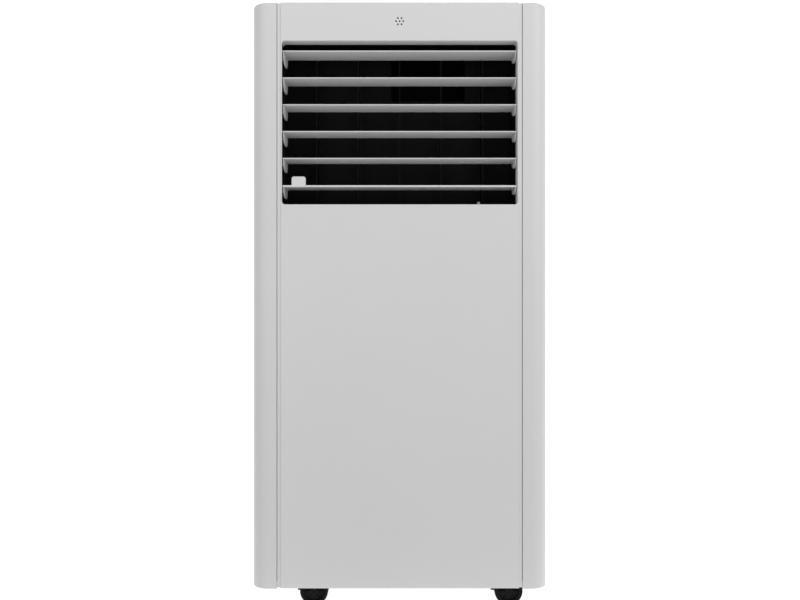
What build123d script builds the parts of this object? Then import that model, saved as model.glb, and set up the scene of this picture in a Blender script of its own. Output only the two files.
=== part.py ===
from build123d import *
from math import cos, radians, sin, sqrt
import os

# ---------------------------------------------------------------------------
# Portable air conditioner on four swivel casters.
# Millimetres. +Z up, front towards -Y, origin under the middle of the box
# that encloses the whole object.
# ---------------------------------------------------------------------------

# Overall sizes
WIDTH = 330.0            # across the two side shells
DEPTH = 300.0            # front panel to the mouth of the exhaust collar
HEIGHT = 678.0           # floor to top cover
FLOOR_GAP = 28.0         # floor to the lower edge of the cabinet
REAR_REACH = 15.0        # exhaust collar stands this far behind the cabinet

# Cabinet shells
WALL = 2.5               # moulded wall
FRONT_R = 18.0           # plan radius of the front corners
REAR_R = 26.0            # plan radius of the rear corners
TOP_EDGE_R = 3.0         # rounding along the upper edge of the side shells
SHELL_FACE = 29.0        # width of side shell seen from the front
SEAM = 0.5               # open joint between neighbouring covers
LIP_DEPTH = 12.0         # turned-in edges beside the seams
LIP_WALL = 2.0
FLANGE_W = 14.0          # rear flange of a side shell that takes the screws
RETURN_DEPTH = 8.0       # front panel and rear cover turn in over the top

# Front panel
STRIP_W = 3.4            # sunk strip beside the raised field
STRIP_STEP = 0.6         # how deep the strip is sunk
STRIP_BEVEL = 0.6
STRIP_SHORT = 1.3        # strip ends this far short of the panel's ends
OPEN_W = 261.3           # louver opening
OPEN_H = 181.3
OPEN_DROP = 42.9         # panel top down to the opening
OPEN_R = 3.0
OPEN_RIM_R = 0.7         # rounding of the opening's front edge
OPEN_RETURN = 13.4       # depth of the wall round the opening
RETURN_WALL = 2.0
SOUND_HOLE_R = 1.0       # seven small holes over the buzzer
SOUND_PITCH = 4.0
SOUND_DROP = 21.3

# Base and casters
PAN_LIFT = 8.0           # cabinet edge up to the underside of the pan
PAN_PLATE = 3.0
PAN_RIM = 24.0           # height of the pan, underside to rim
CASTER_INSET_X = 54.0    # side of the cabinet to the caster stem
CASTER_INSET_Y = 35.0
CASTER_TRAIL = 13.3      # stem to axle
WHEEL_R = 16.0
WHEEL_W = 8.5
HOOD_W = 7.0             # middle web of a twin-wheel caster
STEM_R = 4.0
SOCKET_WALL = 4.0
SOCKET_H = 20.0
AXLE_R = 2.0

# Louvers
LOUVER_COUNT = 6
LOUVER_CHORD = 30.0
LOUVER_T = 1.2
LEAD_T = 2.2             # the lowest louver has a thicker front edge
LEAD_LOWER = 0.6         # and its top sits this much lower
LOUVER_SET = 2.0         # front edges sit this far behind the panel face
LOUVER_DROP = 10.2       # opening top to the top louver
LOUVER_RISE = 22.1       # opening bottom to the top of the lowest louver's place
LOUVER_GAP = 0.5         # louver end to the side of the opening
EAR_T = 1.5
LEFT_EAR_DROP = 12.0     # end plates reach this far below the blade
LEFT_EAR_LOW = 2.0       # lowest point, rearward of the pivot
LEFT_EAR_TAIL = (10.5, -5.4)
RIGHT_EAR_DROP = 8.0
RIGHT_EAR_LOW = -1.0
RIGHT_EAR_TAIL = (7.5, -1.2)
PIVOT_BACK = 16.0        # front edge to pivot
PIVOT_DROP = 4.0         # underside to pivot
PIVOT_R = 1.5
LINK_BACK = 9.0          # pivot to link pin, rearward
LINK_DROP = 5.0          # pivot to link pin, downward
LINK_R = 1.2
LINK_BAR_T = 2.4
LINK_BAR_W = 5.0
TAB_W = 15.5             # finger tab on the lowest louver
TAB_H = 9.6
TAB_T = 2.2
TAB_FROM_END = 10.2
FIT = 0.05               # radial running clearance
LOOSE_FIT = 0.3          # radial clearance of the followers' pins

# Air duct and vertical vanes
DUCT_WALL = 2.0
DUCT_MARGIN = 1.0        # duct is this much larger than the opening
LINK_SPACE = 3.35        # room for the link bar beside the louver ends
DUCT_REACH = 52.0        # front to back
MOUTH_H = 51.0           # height of the air inlet at the top of the duct
VANE_COUNT = 5
VANE_PITCH = 48.0
VANE_BACK = 36.3         # duct front edge to vane pivots
VANE_FRONT = 14.0        # pivot to front edge
VANE_REAR = 10.0         # pivot to rear edge
VANE_T = 1.2
VANE_LIFT = 5.1          # duct floor to lower edge of the vanes
VANE_TOP_GAP = 2.1
VANE_LINK = 12.0         # pivot to link pin
VANE_PIN_R = 1.1
VANE_BAR_W = 4.0
VANE_BAR_T = 2.0
VANE_BAR_LIFT = 1.6
TIP_X = 90.6             # finger tip on the vane bar
TIP_W = 3.3
TIP_REACH = 7.0
TIP_H = 6.1

# Evaporator side (upper half)
TRAY_Z = 412.0           # top face of the drip tray
TRAY_T = 4.0
TRAY_RIM = 12.0
EV_SCROLL_R = 86.0
EV_WHEEL_GAP = 16.0      # wheel to the drum of its scroll
EV_SCROLL_W = 60.0
EV_FRONT = 98.0          # cabinet front to the scroll's front plate
EV_X = -8.0
SCROLL_WALL = 2.0
THROAT_W = 88.0
BLADES = 28
BLADE_DEPTH = 12.0
BLADE_T = 1.4
HUB_R = 12.0
SHAFT_R = 4.0
INLET_STEP = 14.0        # inlet is this much smaller than the wheel
EV_MOTOR_R = 36.0
EV_MOTOR_L = 30.0
COIL_T = 28.0
COIL_MARGIN = 44.0       # cabinet side to the coil's end plate
EV_COIL_H = 222.0
EV_COIL_BACK = 26.0      # rear cover to the coil
FIN_PITCH = 6.0
FIN_T = 1.0
CORE_T = 8.0
TUBE_R = 4.0
BEND_PITCH = 24.0

# Condenser side (lower half)
CO_X = 30.0
CO_Z = 150.0
CO_SCROLL_R = 90.0
CO_WHEEL_GAP = 14.0
CO_SCROLL_W = 60.0
CO_BACK = 52.0           # rear cover to the scroll's rear plate
CO_MOTOR_R = 38.0
CO_MOTOR_L = 36.0
CO_COIL_H = 168.0
CO_COIL_BACK = 10.0
PLENUM_TOP = 398.0
PLENUM_GAP = 4.0         # plenum's floor above the drum and above the coil
COMP_R = 46.0
COMP_H = 150.0
COMP_X = 72.0            # cabinet side to the compressor's axis
COMP_Y = 88.0            # cabinet front to the compressor's axis
FOOT_RING = 56.0
GROMMET_R = 9.0
GROMMET_H = 12.0
ACC_R = 17.0
ACC_H = 108.0
PIPE_R = 4.0

# Exhaust collar, drains, cord gland
EXH_X = 44.0
EXH_Z = 318.0
EXH_R = 71.0
EXH_WALL = 4.0
EXH_LENGTH = 24.0
EXH_FLANGE_R = 78.0
GUARD_SET = 3.5          # collar's bore to the finger guard
GUARD_CLEAR = 1.5        # guard opening is this much wider in radius
GUARD_PITCH = 12.0
GUARD_BAR = 2.0
SPIGOT_R = 8.0
SPIGOT_BORE = 5.5
SPIGOT_SHANK_R = 7.0     # the part that passes through the cover
SPIGOT_LENGTH = 11.0
PLUG_HEAD = 3.8
DRAIN_X = -96.0
DRAIN_Z_UP = 396.0
DRAIN_Z_LOW = 52.0
GLAND_X = 100.0
GLAND_Z = 52.0
GLAND_R = 8.0
GLAND_BORE = 3.6

# Rear grilles and filter
FILTER_W = 224.0
FILTER_H = 214.0
FILTER_DROP = 34.0       # cabinet top to the filter opening
FILTER_T = 7.0
FILTER_GAP = 0.5
FILTER_BORDER = 9.0
FILTER_SLATS = 17
SLAT_T = 3.0
MESH_T = 0.8
LEDGE = 3.0
GRILLE_W = 228.0
GRILLE_Z = 72.0
SLOT_COUNT = 13
SLOT_H = 7.0
SLOT_PITCH = 12.0

# Top controls
TOP_T = 4.0
BEZEL_W = 170.0
BEZEL_D = 52.0
BEZEL_T = 1.5
BEZEL_Y = 52.0           # cabinet front to the middle of the bezel
KEY_R = 7.0
KEY_GAP = 0.4
KEY_PITCH = 27.0
KEY_SHIFT = 12.0
KEY_FLANGE = 2.0
WINDOW_W = 46.0
WINDOW_D = 16.0
BOARD_T = 1.6
BOARD_DROP = 5.0

# Handle recess in each side shell
CUP_L = 96.0
CUP_H = 30.0
CUP_DEPTH = 20.0
CUP_DROP = 120.0

# Screws
SCREW_R = 1.6
SCREW_L = 8.0
HEAD_R = 3.6
HEAD_H = 2.0

# Electrical box
EBOX_W = 84.0
EBOX_D = 70.0
EBOX_H = 120.0
EBOX_WALL = 2.0
CAP_R = 16.0
CAP_H = 60.0

# ---------------------------------------------------------------------------
# Places worked out from the sizes above
# ---------------------------------------------------------------------------
X_SIDE = WIDTH / 2
Y_FRONT = -DEPTH / 2
Y_REAR = DEPTH / 2 - REAR_REACH
Z_LOW = FLOOR_GAP
Z_TOP = HEIGHT
SEAM_X = X_SIDE - SHELL_FACE
PANEL_X = SEAM_X - SEAM / 2
SHELL_X = SEAM_X + SEAM / 2
FIELD_X = PANEL_X - STRIP_W
OPEN_X = OPEN_W / 2
OPEN_Z1 = Z_TOP - OPEN_DROP
OPEN_Z0 = OPEN_Z1 - OPEN_H
PAN_Z = Z_LOW + PAN_LIFT
PAN_TOP = PAN_Z + PAN_RIM
PAN_FLOOR = PAN_Z + PAN_PLATE
LIP_Z = PAN_TOP + 1.0
REAR_IN = Y_REAR - WALL
LOUVER_X = OPEN_X - LOUVER_GAP
LOUVER_PITCH = (OPEN_H - LOUVER_DROP - LOUVER_RISE) / (LOUVER_COUNT - 1)
PIVOT_Y = Y_FRONT + LOUVER_SET + PIVOT_BACK
PIVOT_Z1 = OPEN_Z1 - LOUVER_DROP - LOUVER_T - PIVOT_DROP
DUCT_Y = Y_FRONT + OPEN_RETURN
DUCT_REAR = DUCT_Y + DUCT_REACH
DUCT_LEFT = -(OPEN_X + LINK_SPACE)
DUCT_RIGHT = OPEN_X + 0.35
DUCT_Z0 = OPEN_Z0 - DUCT_MARGIN
DUCT_Z1 = OPEN_Z1 + DUCT_MARGIN
VANE_Y = DUCT_Y + VANE_BACK
VANE_Z0 = DUCT_Z0 + VANE_LIFT
VANE_Z1 = DUCT_Z1 - VANE_TOP_GAP
LINK_BAR_X = -(LOUVER_X + 0.85)
EV_Y0 = Y_FRONT + EV_FRONT
EV_Y1 = EV_Y0 + EV_SCROLL_W
EV_Z = TRAY_Z + EV_SCROLL_R + SCROLL_WALL
EV_WHEEL_R = EV_SCROLL_R - EV_WHEEL_GAP
CO_WHEEL_R = CO_SCROLL_R - CO_WHEEL_GAP
PLENUM_LOW = max(CO_Z + CO_SCROLL_R, PAN_TOP + CO_COIL_H + SCROLL_WALL) + PLENUM_GAP
CO_Y1 = REAR_IN - CO_BACK
CO_Y0 = CO_Y1 - CO_SCROLL_W
FILTER_Z1 = Z_TOP - FILTER_DROP
FILTER_Z0 = FILTER_Z1 - FILTER_H
BEZEL_MID = Y_FRONT + BEZEL_Y
KEY_Y = BEZEL_MID - KEY_SHIFT
COVER_LOW = Z_TOP - TOP_T
STEM_X = X_SIDE - CASTER_INSET_X
STEM_Y0 = Y_FRONT + CASTER_INSET_Y
STEM_Y1 = Y_REAR - CASTER_INSET_Y
COIL_X = X_SIDE - COIL_MARGIN


# ---------------------------------------------------------------------------
# Small helpers
# ---------------------------------------------------------------------------
def block(x0, x1, y0, y1, z0, z1):
    """Box between two corners."""
    middle = Pos((x0 + x1) / 2, (y0 + y1) / 2, (z0 + z1) / 2)
    return middle * Box(x1 - x0, y1 - y0, z1 - z0)


def rod_x(x0, x1, y, z, radius):
    """Cylinder along X."""
    return Pos((x0 + x1) / 2, y, z) * Rot(0, 90, 0) * Cylinder(radius, x1 - x0)


def rod_y(x, y0, y1, z, radius):
    """Cylinder along Y."""
    return Pos(x, (y0 + y1) / 2, z) * Rot(90, 0, 0) * Cylinder(radius, y1 - y0)


def rod_z(x, y, z0, z1, radius):
    """Cylinder along Z."""
    return Pos(x, y, (z0 + z1) / 2) * Cylinder(radius, z1 - z0)


def one(shape):
    """The single solid inside a boolean result."""
    return shape.solids()[0] if len(shape.solids()) == 1 else shape


def save(name, shape):
    """Write one node."""
    export_step(shape, "parts/" + name + ".step")


def cabinet_plan(inset):
    """Plan outline of the cabinet, moved inwards by inset."""
    width = WIDTH - 2 * inset
    depth = Y_REAR - Y_FRONT - 2 * inset
    plan = Pos(0, (Y_FRONT + Y_REAR) / 2) * Rectangle(width, depth)
    rows = plan.vertices().group_by(Axis.Y)
    plan = fillet(rows[0], FRONT_R - inset)
    rows = plan.vertices().sort_by(Axis.Y)
    rear = [v for v in rows if v.Y > Y_REAR - inset - 0.01]
    return fillet(rear, REAR_R - inset)


def cabinet_skin():
    """Hollow cabinet, open below, before it is parted along the seams."""
    outer = extrude(Pos(0, 0, Z_LOW) * cabinet_plan(0), Z_TOP - Z_LOW)
    outer = fillet(outer.faces().sort_by(Axis.Z)[-1].edges(), TOP_EDGE_R)
    inner = extrude(Pos(0, 0, Z_LOW) * cabinet_plan(WALL), Z_TOP - Z_LOW - WALL)
    return outer - inner


# ---------------------------------------------------------------------------
# Cabinet
# ---------------------------------------------------------------------------
def screw_places():
    """Heights of the rear cover's screws; they go in on both sides."""
    return [LIP_Z + 10, GRILLE_Z + SLOT_COUNT * SLOT_PITCH + 12, FILTER_Z0 - 16, Z_TOP - 22]


def screw_x():
    return PANEL_X - FLANGE_W / 2 + 1.0


def side_shell(side, skin):
    """One side: wraps from the front seam round the side to the rear seam."""
    keep = block(SHELL_X, X_SIDE + 1, Y_FRONT - 1, Y_REAR + 1, Z_LOW - 1, Z_TOP + 1)
    if side < 0:
        keep = mirror(keep, Plane.YZ)
    shell = skin & keep
    lip = block(SHELL_X, SHELL_X + LIP_WALL, Y_FRONT + 0.5, Y_FRONT + LIP_DEPTH, LIP_Z, Z_TOP - 1)
    flange = block(SHELL_X - FLANGE_W, SHELL_X + 6, REAR_IN - LIP_WALL, REAR_IN, LIP_Z, Z_TOP - TOP_T - 1)
    cup_y = (Y_FRONT + Y_REAR) / 2
    cup_z = Z_TOP - CUP_DROP
    x_in = X_SIDE - CUP_DEPTH
    cup = block(x_in - WALL, X_SIDE - WALL / 2, cup_y - CUP_L / 2 - WALL, cup_y + CUP_L / 2 + WALL,
                cup_z - CUP_H / 2 - WALL, cup_z + CUP_H / 2 + WALL)
    hollow = block(x_in, X_SIDE + 1, cup_y - CUP_L / 2, cup_y + CUP_L / 2,
                   cup_z - CUP_H / 2, cup_z + CUP_H / 2)
    hollow = fillet(hollow.edges().filter_by(Axis.X), 8)
    pieces = [lip, flange, cup]
    holes = [rod_y(screw_x(), REAR_IN - 10, REAR_IN + 10, z, SCREW_R) for z in screw_places()]
    if side < 0:
        pieces = [mirror(p, Plane.YZ) for p in pieces]
        holes = [mirror(h, Plane.YZ) for h in holes]
        hollow = mirror(hollow, Plane.YZ)
    return one(shell + pieces - hollow - holes)


def panel_profile():
    """Plan section of the front panel: raised field between two sunk strips."""
    y0 = Y_FRONT
    y1 = Y_FRONT + STRIP_STEP
    inner = FIELD_X - STRIP_BEVEL
    half = [(inner, y0), (FIELD_X, y1), (PANEL_X, y1), (PANEL_X, y1 + WALL),
            (FIELD_X - WALL / 2, y1 + WALL), (inner - WALL / 2, y0 + WALL)]
    other = [(-x, y) for x, y in reversed(half)]
    return make_face(Polyline(*half, *other, close=True))


def opening_tool(grow, y0, y1):
    """Rounded block the size of the louver opening."""
    tool = block(-OPEN_X - grow, OPEN_X + grow, y0, y1, OPEN_Z0 - grow, OPEN_Z1 + grow)
    return fillet(tool.edges().filter_by(Axis.Y), OPEN_R + grow)


def sound_holes():
    """Seven holes: one in the middle and six round it."""
    z = Z_TOP - SOUND_DROP
    spots = [(0, 0)] + [(SOUND_PITCH * cos(radians(a)), SOUND_PITCH * sin(radians(a)))
                        for a in range(0, 360, 60)]
    return [rod_y(x, Y_FRONT - 1, Y_FRONT + 6, z + dz, SOUND_HOLE_R) for x, dz in spots]


def front_panel():
    body = extrude(Pos(0, 0, Z_LOW) * panel_profile(), Z_TOP - Z_LOW)
    for side in (-1, 1):
        x0, x1 = sorted((side * (FIELD_X + 0.01), side * (PANEL_X + 1)))
        body -= block(x0, x1, Y_FRONT - 1, Y_FRONT + 9, Z_LOW - 1, Z_LOW + STRIP_SHORT)
        body -= block(x0, x1, Y_FRONT - 1, Y_FRONT + 9, Z_TOP - STRIP_SHORT, Z_TOP + 1)
        x0, x1 = sorted((side * (PANEL_X - LIP_WALL), side * PANEL_X))
        body += block(x0, x1, Y_FRONT + STRIP_STEP + 0.5, Y_FRONT + LIP_DEPTH, LIP_Z, Z_TOP - TOP_T - 1)
    body += block(-FIELD_X + WALL, FIELD_X - WALL, Y_FRONT + 1, Y_FRONT + RETURN_DEPTH, Z_TOP - WALL, Z_TOP)
    edges = body.edges().filter_by(Axis.X).filter_by(
        lambda e: abs(e.center().Y - Y_FRONT) < 0.01 and e.length > FIELD_X)
    body = fillet(edges, 1.5)
    collar = opening_tool(RETURN_WALL, Y_FRONT + 1, Y_FRONT + OPEN_RETURN)
    left_gap = block(-PANEL_X - 1, -OPEN_X, Y_FRONT + STRIP_STEP + WALL, Y_FRONT + OPEN_RETURN + 1,
                     OPEN_Z0, OPEN_Z1)
    keep_lip = block(-PANEL_X, -PANEL_X + LIP_WALL, Y_FRONT, Y_FRONT + LIP_DEPTH, OPEN_Z0, OPEN_Z1)
    body = body + (collar - (left_gap - keep_lip))
    body -= opening_tool(0, Y_FRONT - 1, Y_FRONT + OPEN_RETURN + 1)
    rim = body.edges().filter_by(lambda e: abs(e.center().Y - Y_FRONT) < 0.01 and abs(e.center().X) < OPEN_X + 1
                                 and OPEN_Z0 - 1 < e.center().Z < OPEN_Z1 + 1)
    body = fillet(rim, OPEN_RIM_R)
    return one(body - sound_holes())


def top_cover():
    """Flat lid between the panel, the side shells and the rear cover."""
    y0 = Y_FRONT + RETURN_DEPTH + SEAM
    y1 = Y_REAR - RETURN_DEPTH - SEAM
    lid = block(-PANEL_X, PANEL_X, y0, y1, COVER_LOW, Z_TOP)
    tongue = block(-FIELD_X + 4, FIELD_X - 4, y0 - 6, y1 + 6, COVER_LOW, Z_TOP - WALL)
    lid += tongue
    lid -= block(-BEZEL_W / 2, BEZEL_W / 2, BEZEL_MID - BEZEL_D / 2, BEZEL_MID + BEZEL_D / 2,
                 Z_TOP - BEZEL_T, Z_TOP + 1)
    for x in key_places():
        lid -= rod_z(x, KEY_Y, COVER_LOW - 1, Z_TOP, KEY_R + KEY_GAP)
    lid -= block(-WINDOW_W / 2 + 2, WINDOW_W / 2 - 2, BEZEL_MID + 4, BEZEL_MID + WINDOW_D,
                 COVER_LOW - 1, Z_TOP)
    for x in (-BEZEL_W / 2 + 6, BEZEL_W / 2 - 6):
        lid += rod_z(x, BEZEL_MID, COVER_LOW - BOARD_DROP, COVER_LOW + 0.5, 3)
    return one(lid)


def key_places():
    """Five keys in a row."""
    return [KEY_PITCH * (i - 2) for i in range(5)]


def control_bezel():
    plate = block(-BEZEL_W / 2, BEZEL_W / 2, BEZEL_MID - BEZEL_D / 2, BEZEL_MID + BEZEL_D / 2,
                  Z_TOP - BEZEL_T, Z_TOP)
    plate = fillet(plate.edges().filter_by(Axis.Z), 0.4)
    for x in key_places():
        plate -= rod_z(x, KEY_Y, Z_TOP - 3, Z_TOP + 1, KEY_R + KEY_GAP)
    plate -= block(-WINDOW_W / 2, WINDOW_W / 2, BEZEL_MID + 2, BEZEL_MID + 2 + WINDOW_D, Z_TOP - 3, Z_TOP + 1)
    return one(plate)


def display_window():
    return block(-WINDOW_W / 2, WINDOW_W / 2, BEZEL_MID + 2, BEZEL_MID + 2 + WINDOW_D, Z_TOP - BEZEL_T, Z_TOP)


def control_key(x):
    """Push key: cap in the hole, wider flange under the lid."""
    cap = rod_z(x, KEY_Y, COVER_LOW - 1, Z_TOP - 0.2, KEY_R)
    cap = fillet(cap.faces().sort_by(Axis.Z)[-1].edges(), 0.6)
    flange_top = COVER_LOW - 0.3
    flange = rod_z(x, KEY_Y, flange_top - KEY_FLANGE, flange_top, KEY_R + 2)
    return one(cap + flange)


def display_board():
    """Board with tact switches and the display, hung under the lid."""
    z1 = COVER_LOW - BOARD_DROP
    return block(-BEZEL_W / 2, BEZEL_W / 2, BEZEL_MID - BEZEL_D / 2, BEZEL_MID + BEZEL_D / 2, z1 - BOARD_T, z1)


def rear_cover():
    """Back of the cabinet: filter well, exhaust hole, lower grille, holes for the bushes."""
    body = block(-PANEL_X, PANEL_X, REAR_IN, Y_REAR, Z_LOW, Z_TOP)
    body += block(-FIELD_X + WALL, FIELD_X - WALL, Y_REAR - RETURN_DEPTH, Y_REAR, Z_TOP - WALL, Z_TOP)
    well = block(-FILTER_W / 2 - LIP_WALL, FILTER_W / 2 + LIP_WALL, Y_REAR - FILTER_T - LEDGE, REAR_IN + 0.5,
                 FILTER_Z0 - LIP_WALL, FILTER_Z1 + LIP_WALL)
    body += well
    body -= block(-FILTER_W / 2, FILTER_W / 2, Y_REAR - FILTER_T - 1, Y_REAR + 1, FILTER_Z0, FILTER_Z1)
    body -= block(-FILTER_W / 2 + LEDGE, FILTER_W / 2 - LEDGE, Y_REAR - FILTER_T - LEDGE - 1, Y_REAR + 1,
                  FILTER_Z0 + LEDGE, FILTER_Z1 - LEDGE)
    body -= rod_y(EXH_X, REAR_IN - 1, Y_REAR + 1, EXH_Z, EXH_R + EXH_WALL)
    for i in range(SLOT_COUNT):
        z = GRILLE_Z + i * SLOT_PITCH
        for x0, x1 in ((-GRILLE_W / 2, -SLAT_T), (SLAT_T, GRILLE_W / 2)):
            body -= block(x0, x1, REAR_IN - 1, Y_REAR + 1, z, z + SLOT_H)
    for z in (DRAIN_Z_UP, DRAIN_Z_LOW):
        body -= rod_y(DRAIN_X, REAR_IN - 1, Y_REAR + 1, z, SPIGOT_SHANK_R)
    body -= rod_y(GLAND_X, REAR_IN - 1, Y_REAR + 1, GLAND_Z, GLAND_R)
    for z in screw_places():
        for side in (-1, 1):
            body -= rod_y(side * screw_x(), REAR_IN - 1, Y_REAR + 1, z, SCREW_R)
    return one(body)


def base_pan():
    """Moulded floor with a rim, caster sockets and posts for the compressor."""
    plan = cabinet_plan(WALL)
    pan = extrude(Pos(0, 0, PAN_Z) * plan, PAN_RIM)
    inner = cabinet_plan(WALL + LIP_WALL)
    pan -= extrude(Pos(0, 0, PAN_FLOOR) * inner, PAN_RIM)
    front = Y_FRONT + STRIP_STEP + WALL
    pan -= block(-PANEL_X, PANEL_X, Y_FRONT - 1, front, PAN_Z - 1, PAN_TOP + 1)
    pan += block(-PANEL_X, PANEL_X, front, front + LIP_WALL, PAN_Z, PAN_TOP)
    for x, y in stem_places():
        pan += rod_z(x, y, PAN_Z - 1.5, PAN_Z + SOCKET_H, STEM_R + FIT + SOCKET_WALL)
    for x, y in foot_places():
        pan += rod_z(x, y, PAN_Z, PAN_FLOOR + 6, GROMMET_R - 2)
    for x in (-COIL_X + 12, COIL_X - 12):
        y1 = REAR_IN - CO_COIL_BACK
        pan += block(x - 8, x + 8, y1 - COIL_T, y1, PAN_Z, PAN_TOP)
    for x, y in stem_places():
        pan -= rod_z(x, y, PAN_Z - 2, PAN_Z + SOCKET_H - 3, STEM_R + FIT)
    pan -= rod_y(DRAIN_X, REAR_IN - LIP_WALL - 1, REAR_IN + 1, DRAIN_Z_LOW, SPIGOT_BORE)
    pan -= rod_y(GLAND_X, REAR_IN - LIP_WALL - 1, REAR_IN + 1, GLAND_Z, GLAND_R + 3)
    return one(pan)


def drain_spigot(z):
    """Tube through the rear cover that a drain hose pushes over."""
    tube = rod_y(DRAIN_X, Y_REAR, Y_REAR + SPIGOT_LENGTH, z, SPIGOT_R)
    tube += rod_y(DRAIN_X, REAR_IN, Y_REAR + 1, z, SPIGOT_SHANK_R)
    return one(tube - rod_y(DRAIN_X, REAR_IN - 1, Y_REAR + SPIGOT_LENGTH + 1, z, SPIGOT_BORE))


def cord_gland():
    """Bush in the rear cover that the supply cord leaves through."""
    bush = rod_y(GLAND_X, REAR_IN - 2, Y_REAR, GLAND_Z, GLAND_R)
    bush += rod_y(GLAND_X, Y_REAR, Y_REAR + 3, GLAND_Z, GLAND_R + 2.5)
    bush -= rod_y(GLAND_X, REAR_IN - 3, Y_REAR + 4, GLAND_Z, GLAND_BORE)
    return one(bush)


def cover_screws():
    """Pan-head screws that hold the rear cover to both side shells."""
    group = []
    for z in screw_places():
        for side in (-1, 1):
            x = side * screw_x()
            shank = rod_y(x, Y_REAR - SCREW_L, Y_REAR + 0.5, z, SCREW_R)
            head = rod_y(x, Y_REAR, Y_REAR + HEAD_H, z, HEAD_R)
            head = fillet(head.faces().sort_by(Axis.Y)[-1].edges(), 0.8)
            slot_a = block(x - 2, x + 2, Y_REAR + 0.9, Y_REAR + HEAD_H + 1, z - 0.4, z + 0.4)
            slot_b = block(x - 0.4, x + 0.4, Y_REAR + 0.9, Y_REAR + HEAD_H + 1, z - 2, z + 2)
            group.append(one(shank + head - slot_a - slot_b))
    return Compound(children=group)


def drain_plug(z):
    """Rubber plug in a drain spigot."""
    tip = Y_REAR + SPIGOT_LENGTH
    plug = rod_y(DRAIN_X, Y_REAR - 1, tip + 0.5, z, SPIGOT_BORE - 0.35)
    plug += rod_y(DRAIN_X, tip + 0.2, tip + PLUG_HEAD, z, SPIGOT_R - 0.5)
    return one(plug)


def exhaust_collar():
    """Ring that the hose coupling pushes into; its skirt seats on the plenum."""
    y1 = DEPTH / 2
    y0 = y1 - EXH_LENGTH
    ring = rod_y(EXH_X, y0 - GUARD_SET, y1, EXH_Z, EXH_R + EXH_WALL)
    ring += rod_y(EXH_X, Y_REAR, Y_REAR + 2.5, EXH_Z, EXH_FLANGE_R)
    ring -= rod_y(EXH_X, y0 - 1, y1 + 1, EXH_Z, EXH_R)
    return one(ring - rod_y(EXH_X, y0 - GUARD_SET - 1, y0, EXH_Z, EXH_R + GUARD_CLEAR))


def guard_bars(y0, y1):
    """Upright bars across the plenum's outlet that keep fingers out."""
    half = GUARD_BAR / 2
    count = int(EXH_R / GUARD_PITCH)
    bars = []
    for i in range(-count, count + 1):
        x = EXH_X + i * GUARD_PITCH
        reach = sqrt((EXH_R + GUARD_CLEAR + 1) ** 2 - (i * GUARD_PITCH) ** 2)
        bars.append(block(x - half, x + half, y0, y1, EXH_Z - reach, EXH_Z + reach))
    return bars


def filter_frame():
    """Pull-out grille that carries the filter mesh."""
    x = FILTER_W / 2 - FILTER_GAP
    z0 = FILTER_Z0 + FILTER_GAP
    z1 = FILTER_Z1 - FILTER_GAP
    y0 = Y_REAR - FILTER_T + MESH_T
    frame = block(-x, x, y0, Y_REAR, z0, z1)
    frame -= block(-x + FILTER_BORDER, x - FILTER_BORDER, y0 - 1, Y_REAR + 1, z0 + FILTER_BORDER, z1 - FILTER_BORDER)
    pitch = (z1 - z0 - 2 * FILTER_BORDER) / FILTER_SLATS
    slats = []
    for i in range(1, FILTER_SLATS):
        z = z0 + FILTER_BORDER + i * pitch
        slats.append(block(-x + 2, x - 2, y0 + 1.5, Y_REAR - 0.6, z - SLAT_T / 2, z + SLAT_T / 2))
    posts = [block(p - 2, p + 2, y0, y0 + 3, z0 + 2, z1 - 2) for p in (-x / 3, x / 3)]
    frame = frame + slats + posts
    for p in (-x / 2, x / 2):
        frame -= block(p - 14, p + 14, Y_REAR - 2.5, Y_REAR + 1, z1 - 6, z1 + 1)
    return one(frame)


def filter_mesh():
    """Thin screen laid on the frame's inner face."""
    x = FILTER_W / 2 - FILTER_GAP
    y0 = Y_REAR - FILTER_T
    return block(-x, x, y0, y0 + MESH_T, FILTER_Z0 + FILTER_GAP, FILTER_Z1 - FILTER_GAP)


# ---------------------------------------------------------------------------
# Casters
# ---------------------------------------------------------------------------
def stem_places():
    """Front left, front right, rear left, rear right."""
    return [(-STEM_X, STEM_Y0), (STEM_X, STEM_Y0), (-STEM_X, STEM_Y1), (STEM_X, STEM_Y1)]


def caster_hood(x, y):
    """Stem and web of a twin-wheel caster, trailing towards +X."""
    ax = x + CASTER_TRAIL
    web = rod_y(ax, y - HOOD_W / 2, y + HOOD_W / 2, WHEEL_R, WHEEL_R - 3)
    top = PAN_Z - 2.5
    web += block(x - STEM_R - 2, ax, y - HOOD_W / 2, y + HOOD_W / 2, WHEEL_R - 2, top)
    web += rod_z(x, y, top - 4, PAN_Z + SOCKET_H - 4, STEM_R)
    web -= rod_y(ax, y - 10, y + 10, WHEEL_R, AXLE_R + FIT)
    return one(web)


def caster_wheels(x, y):
    """Two wheels on one axle."""
    ax = x + CASTER_TRAIL
    gap = HOOD_W / 2 + 0.5
    group = rod_y(ax, y - gap - 4, y + gap + 4, WHEEL_R, AXLE_R)
    for side in (-1, 1):
        y0, y1 = sorted((y + side * gap, y + side * (gap + WHEEL_W)))
        wheel = rod_y(ax, y0, y1, WHEEL_R, WHEEL_R)
        wheel = fillet(wheel.edges(), 1.5)
        dish_y = (y1 - 1.5, y1 + 1) if side > 0 else (y0 - 1, y0 + 1.5)
        dish = rod_y(ax, *dish_y, WHEEL_R, WHEEL_R - 5) - rod_y(ax, *dish_y, WHEEL_R, 4)
        group = group + wheel - dish
    return one(group)


# ---------------------------------------------------------------------------
# Louvers
# ---------------------------------------------------------------------------
def pivot_z(index):
    """Height of a louver's pivot; index 0 is the top louver."""
    return PIVOT_Z1 - index * LOUVER_PITCH


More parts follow.
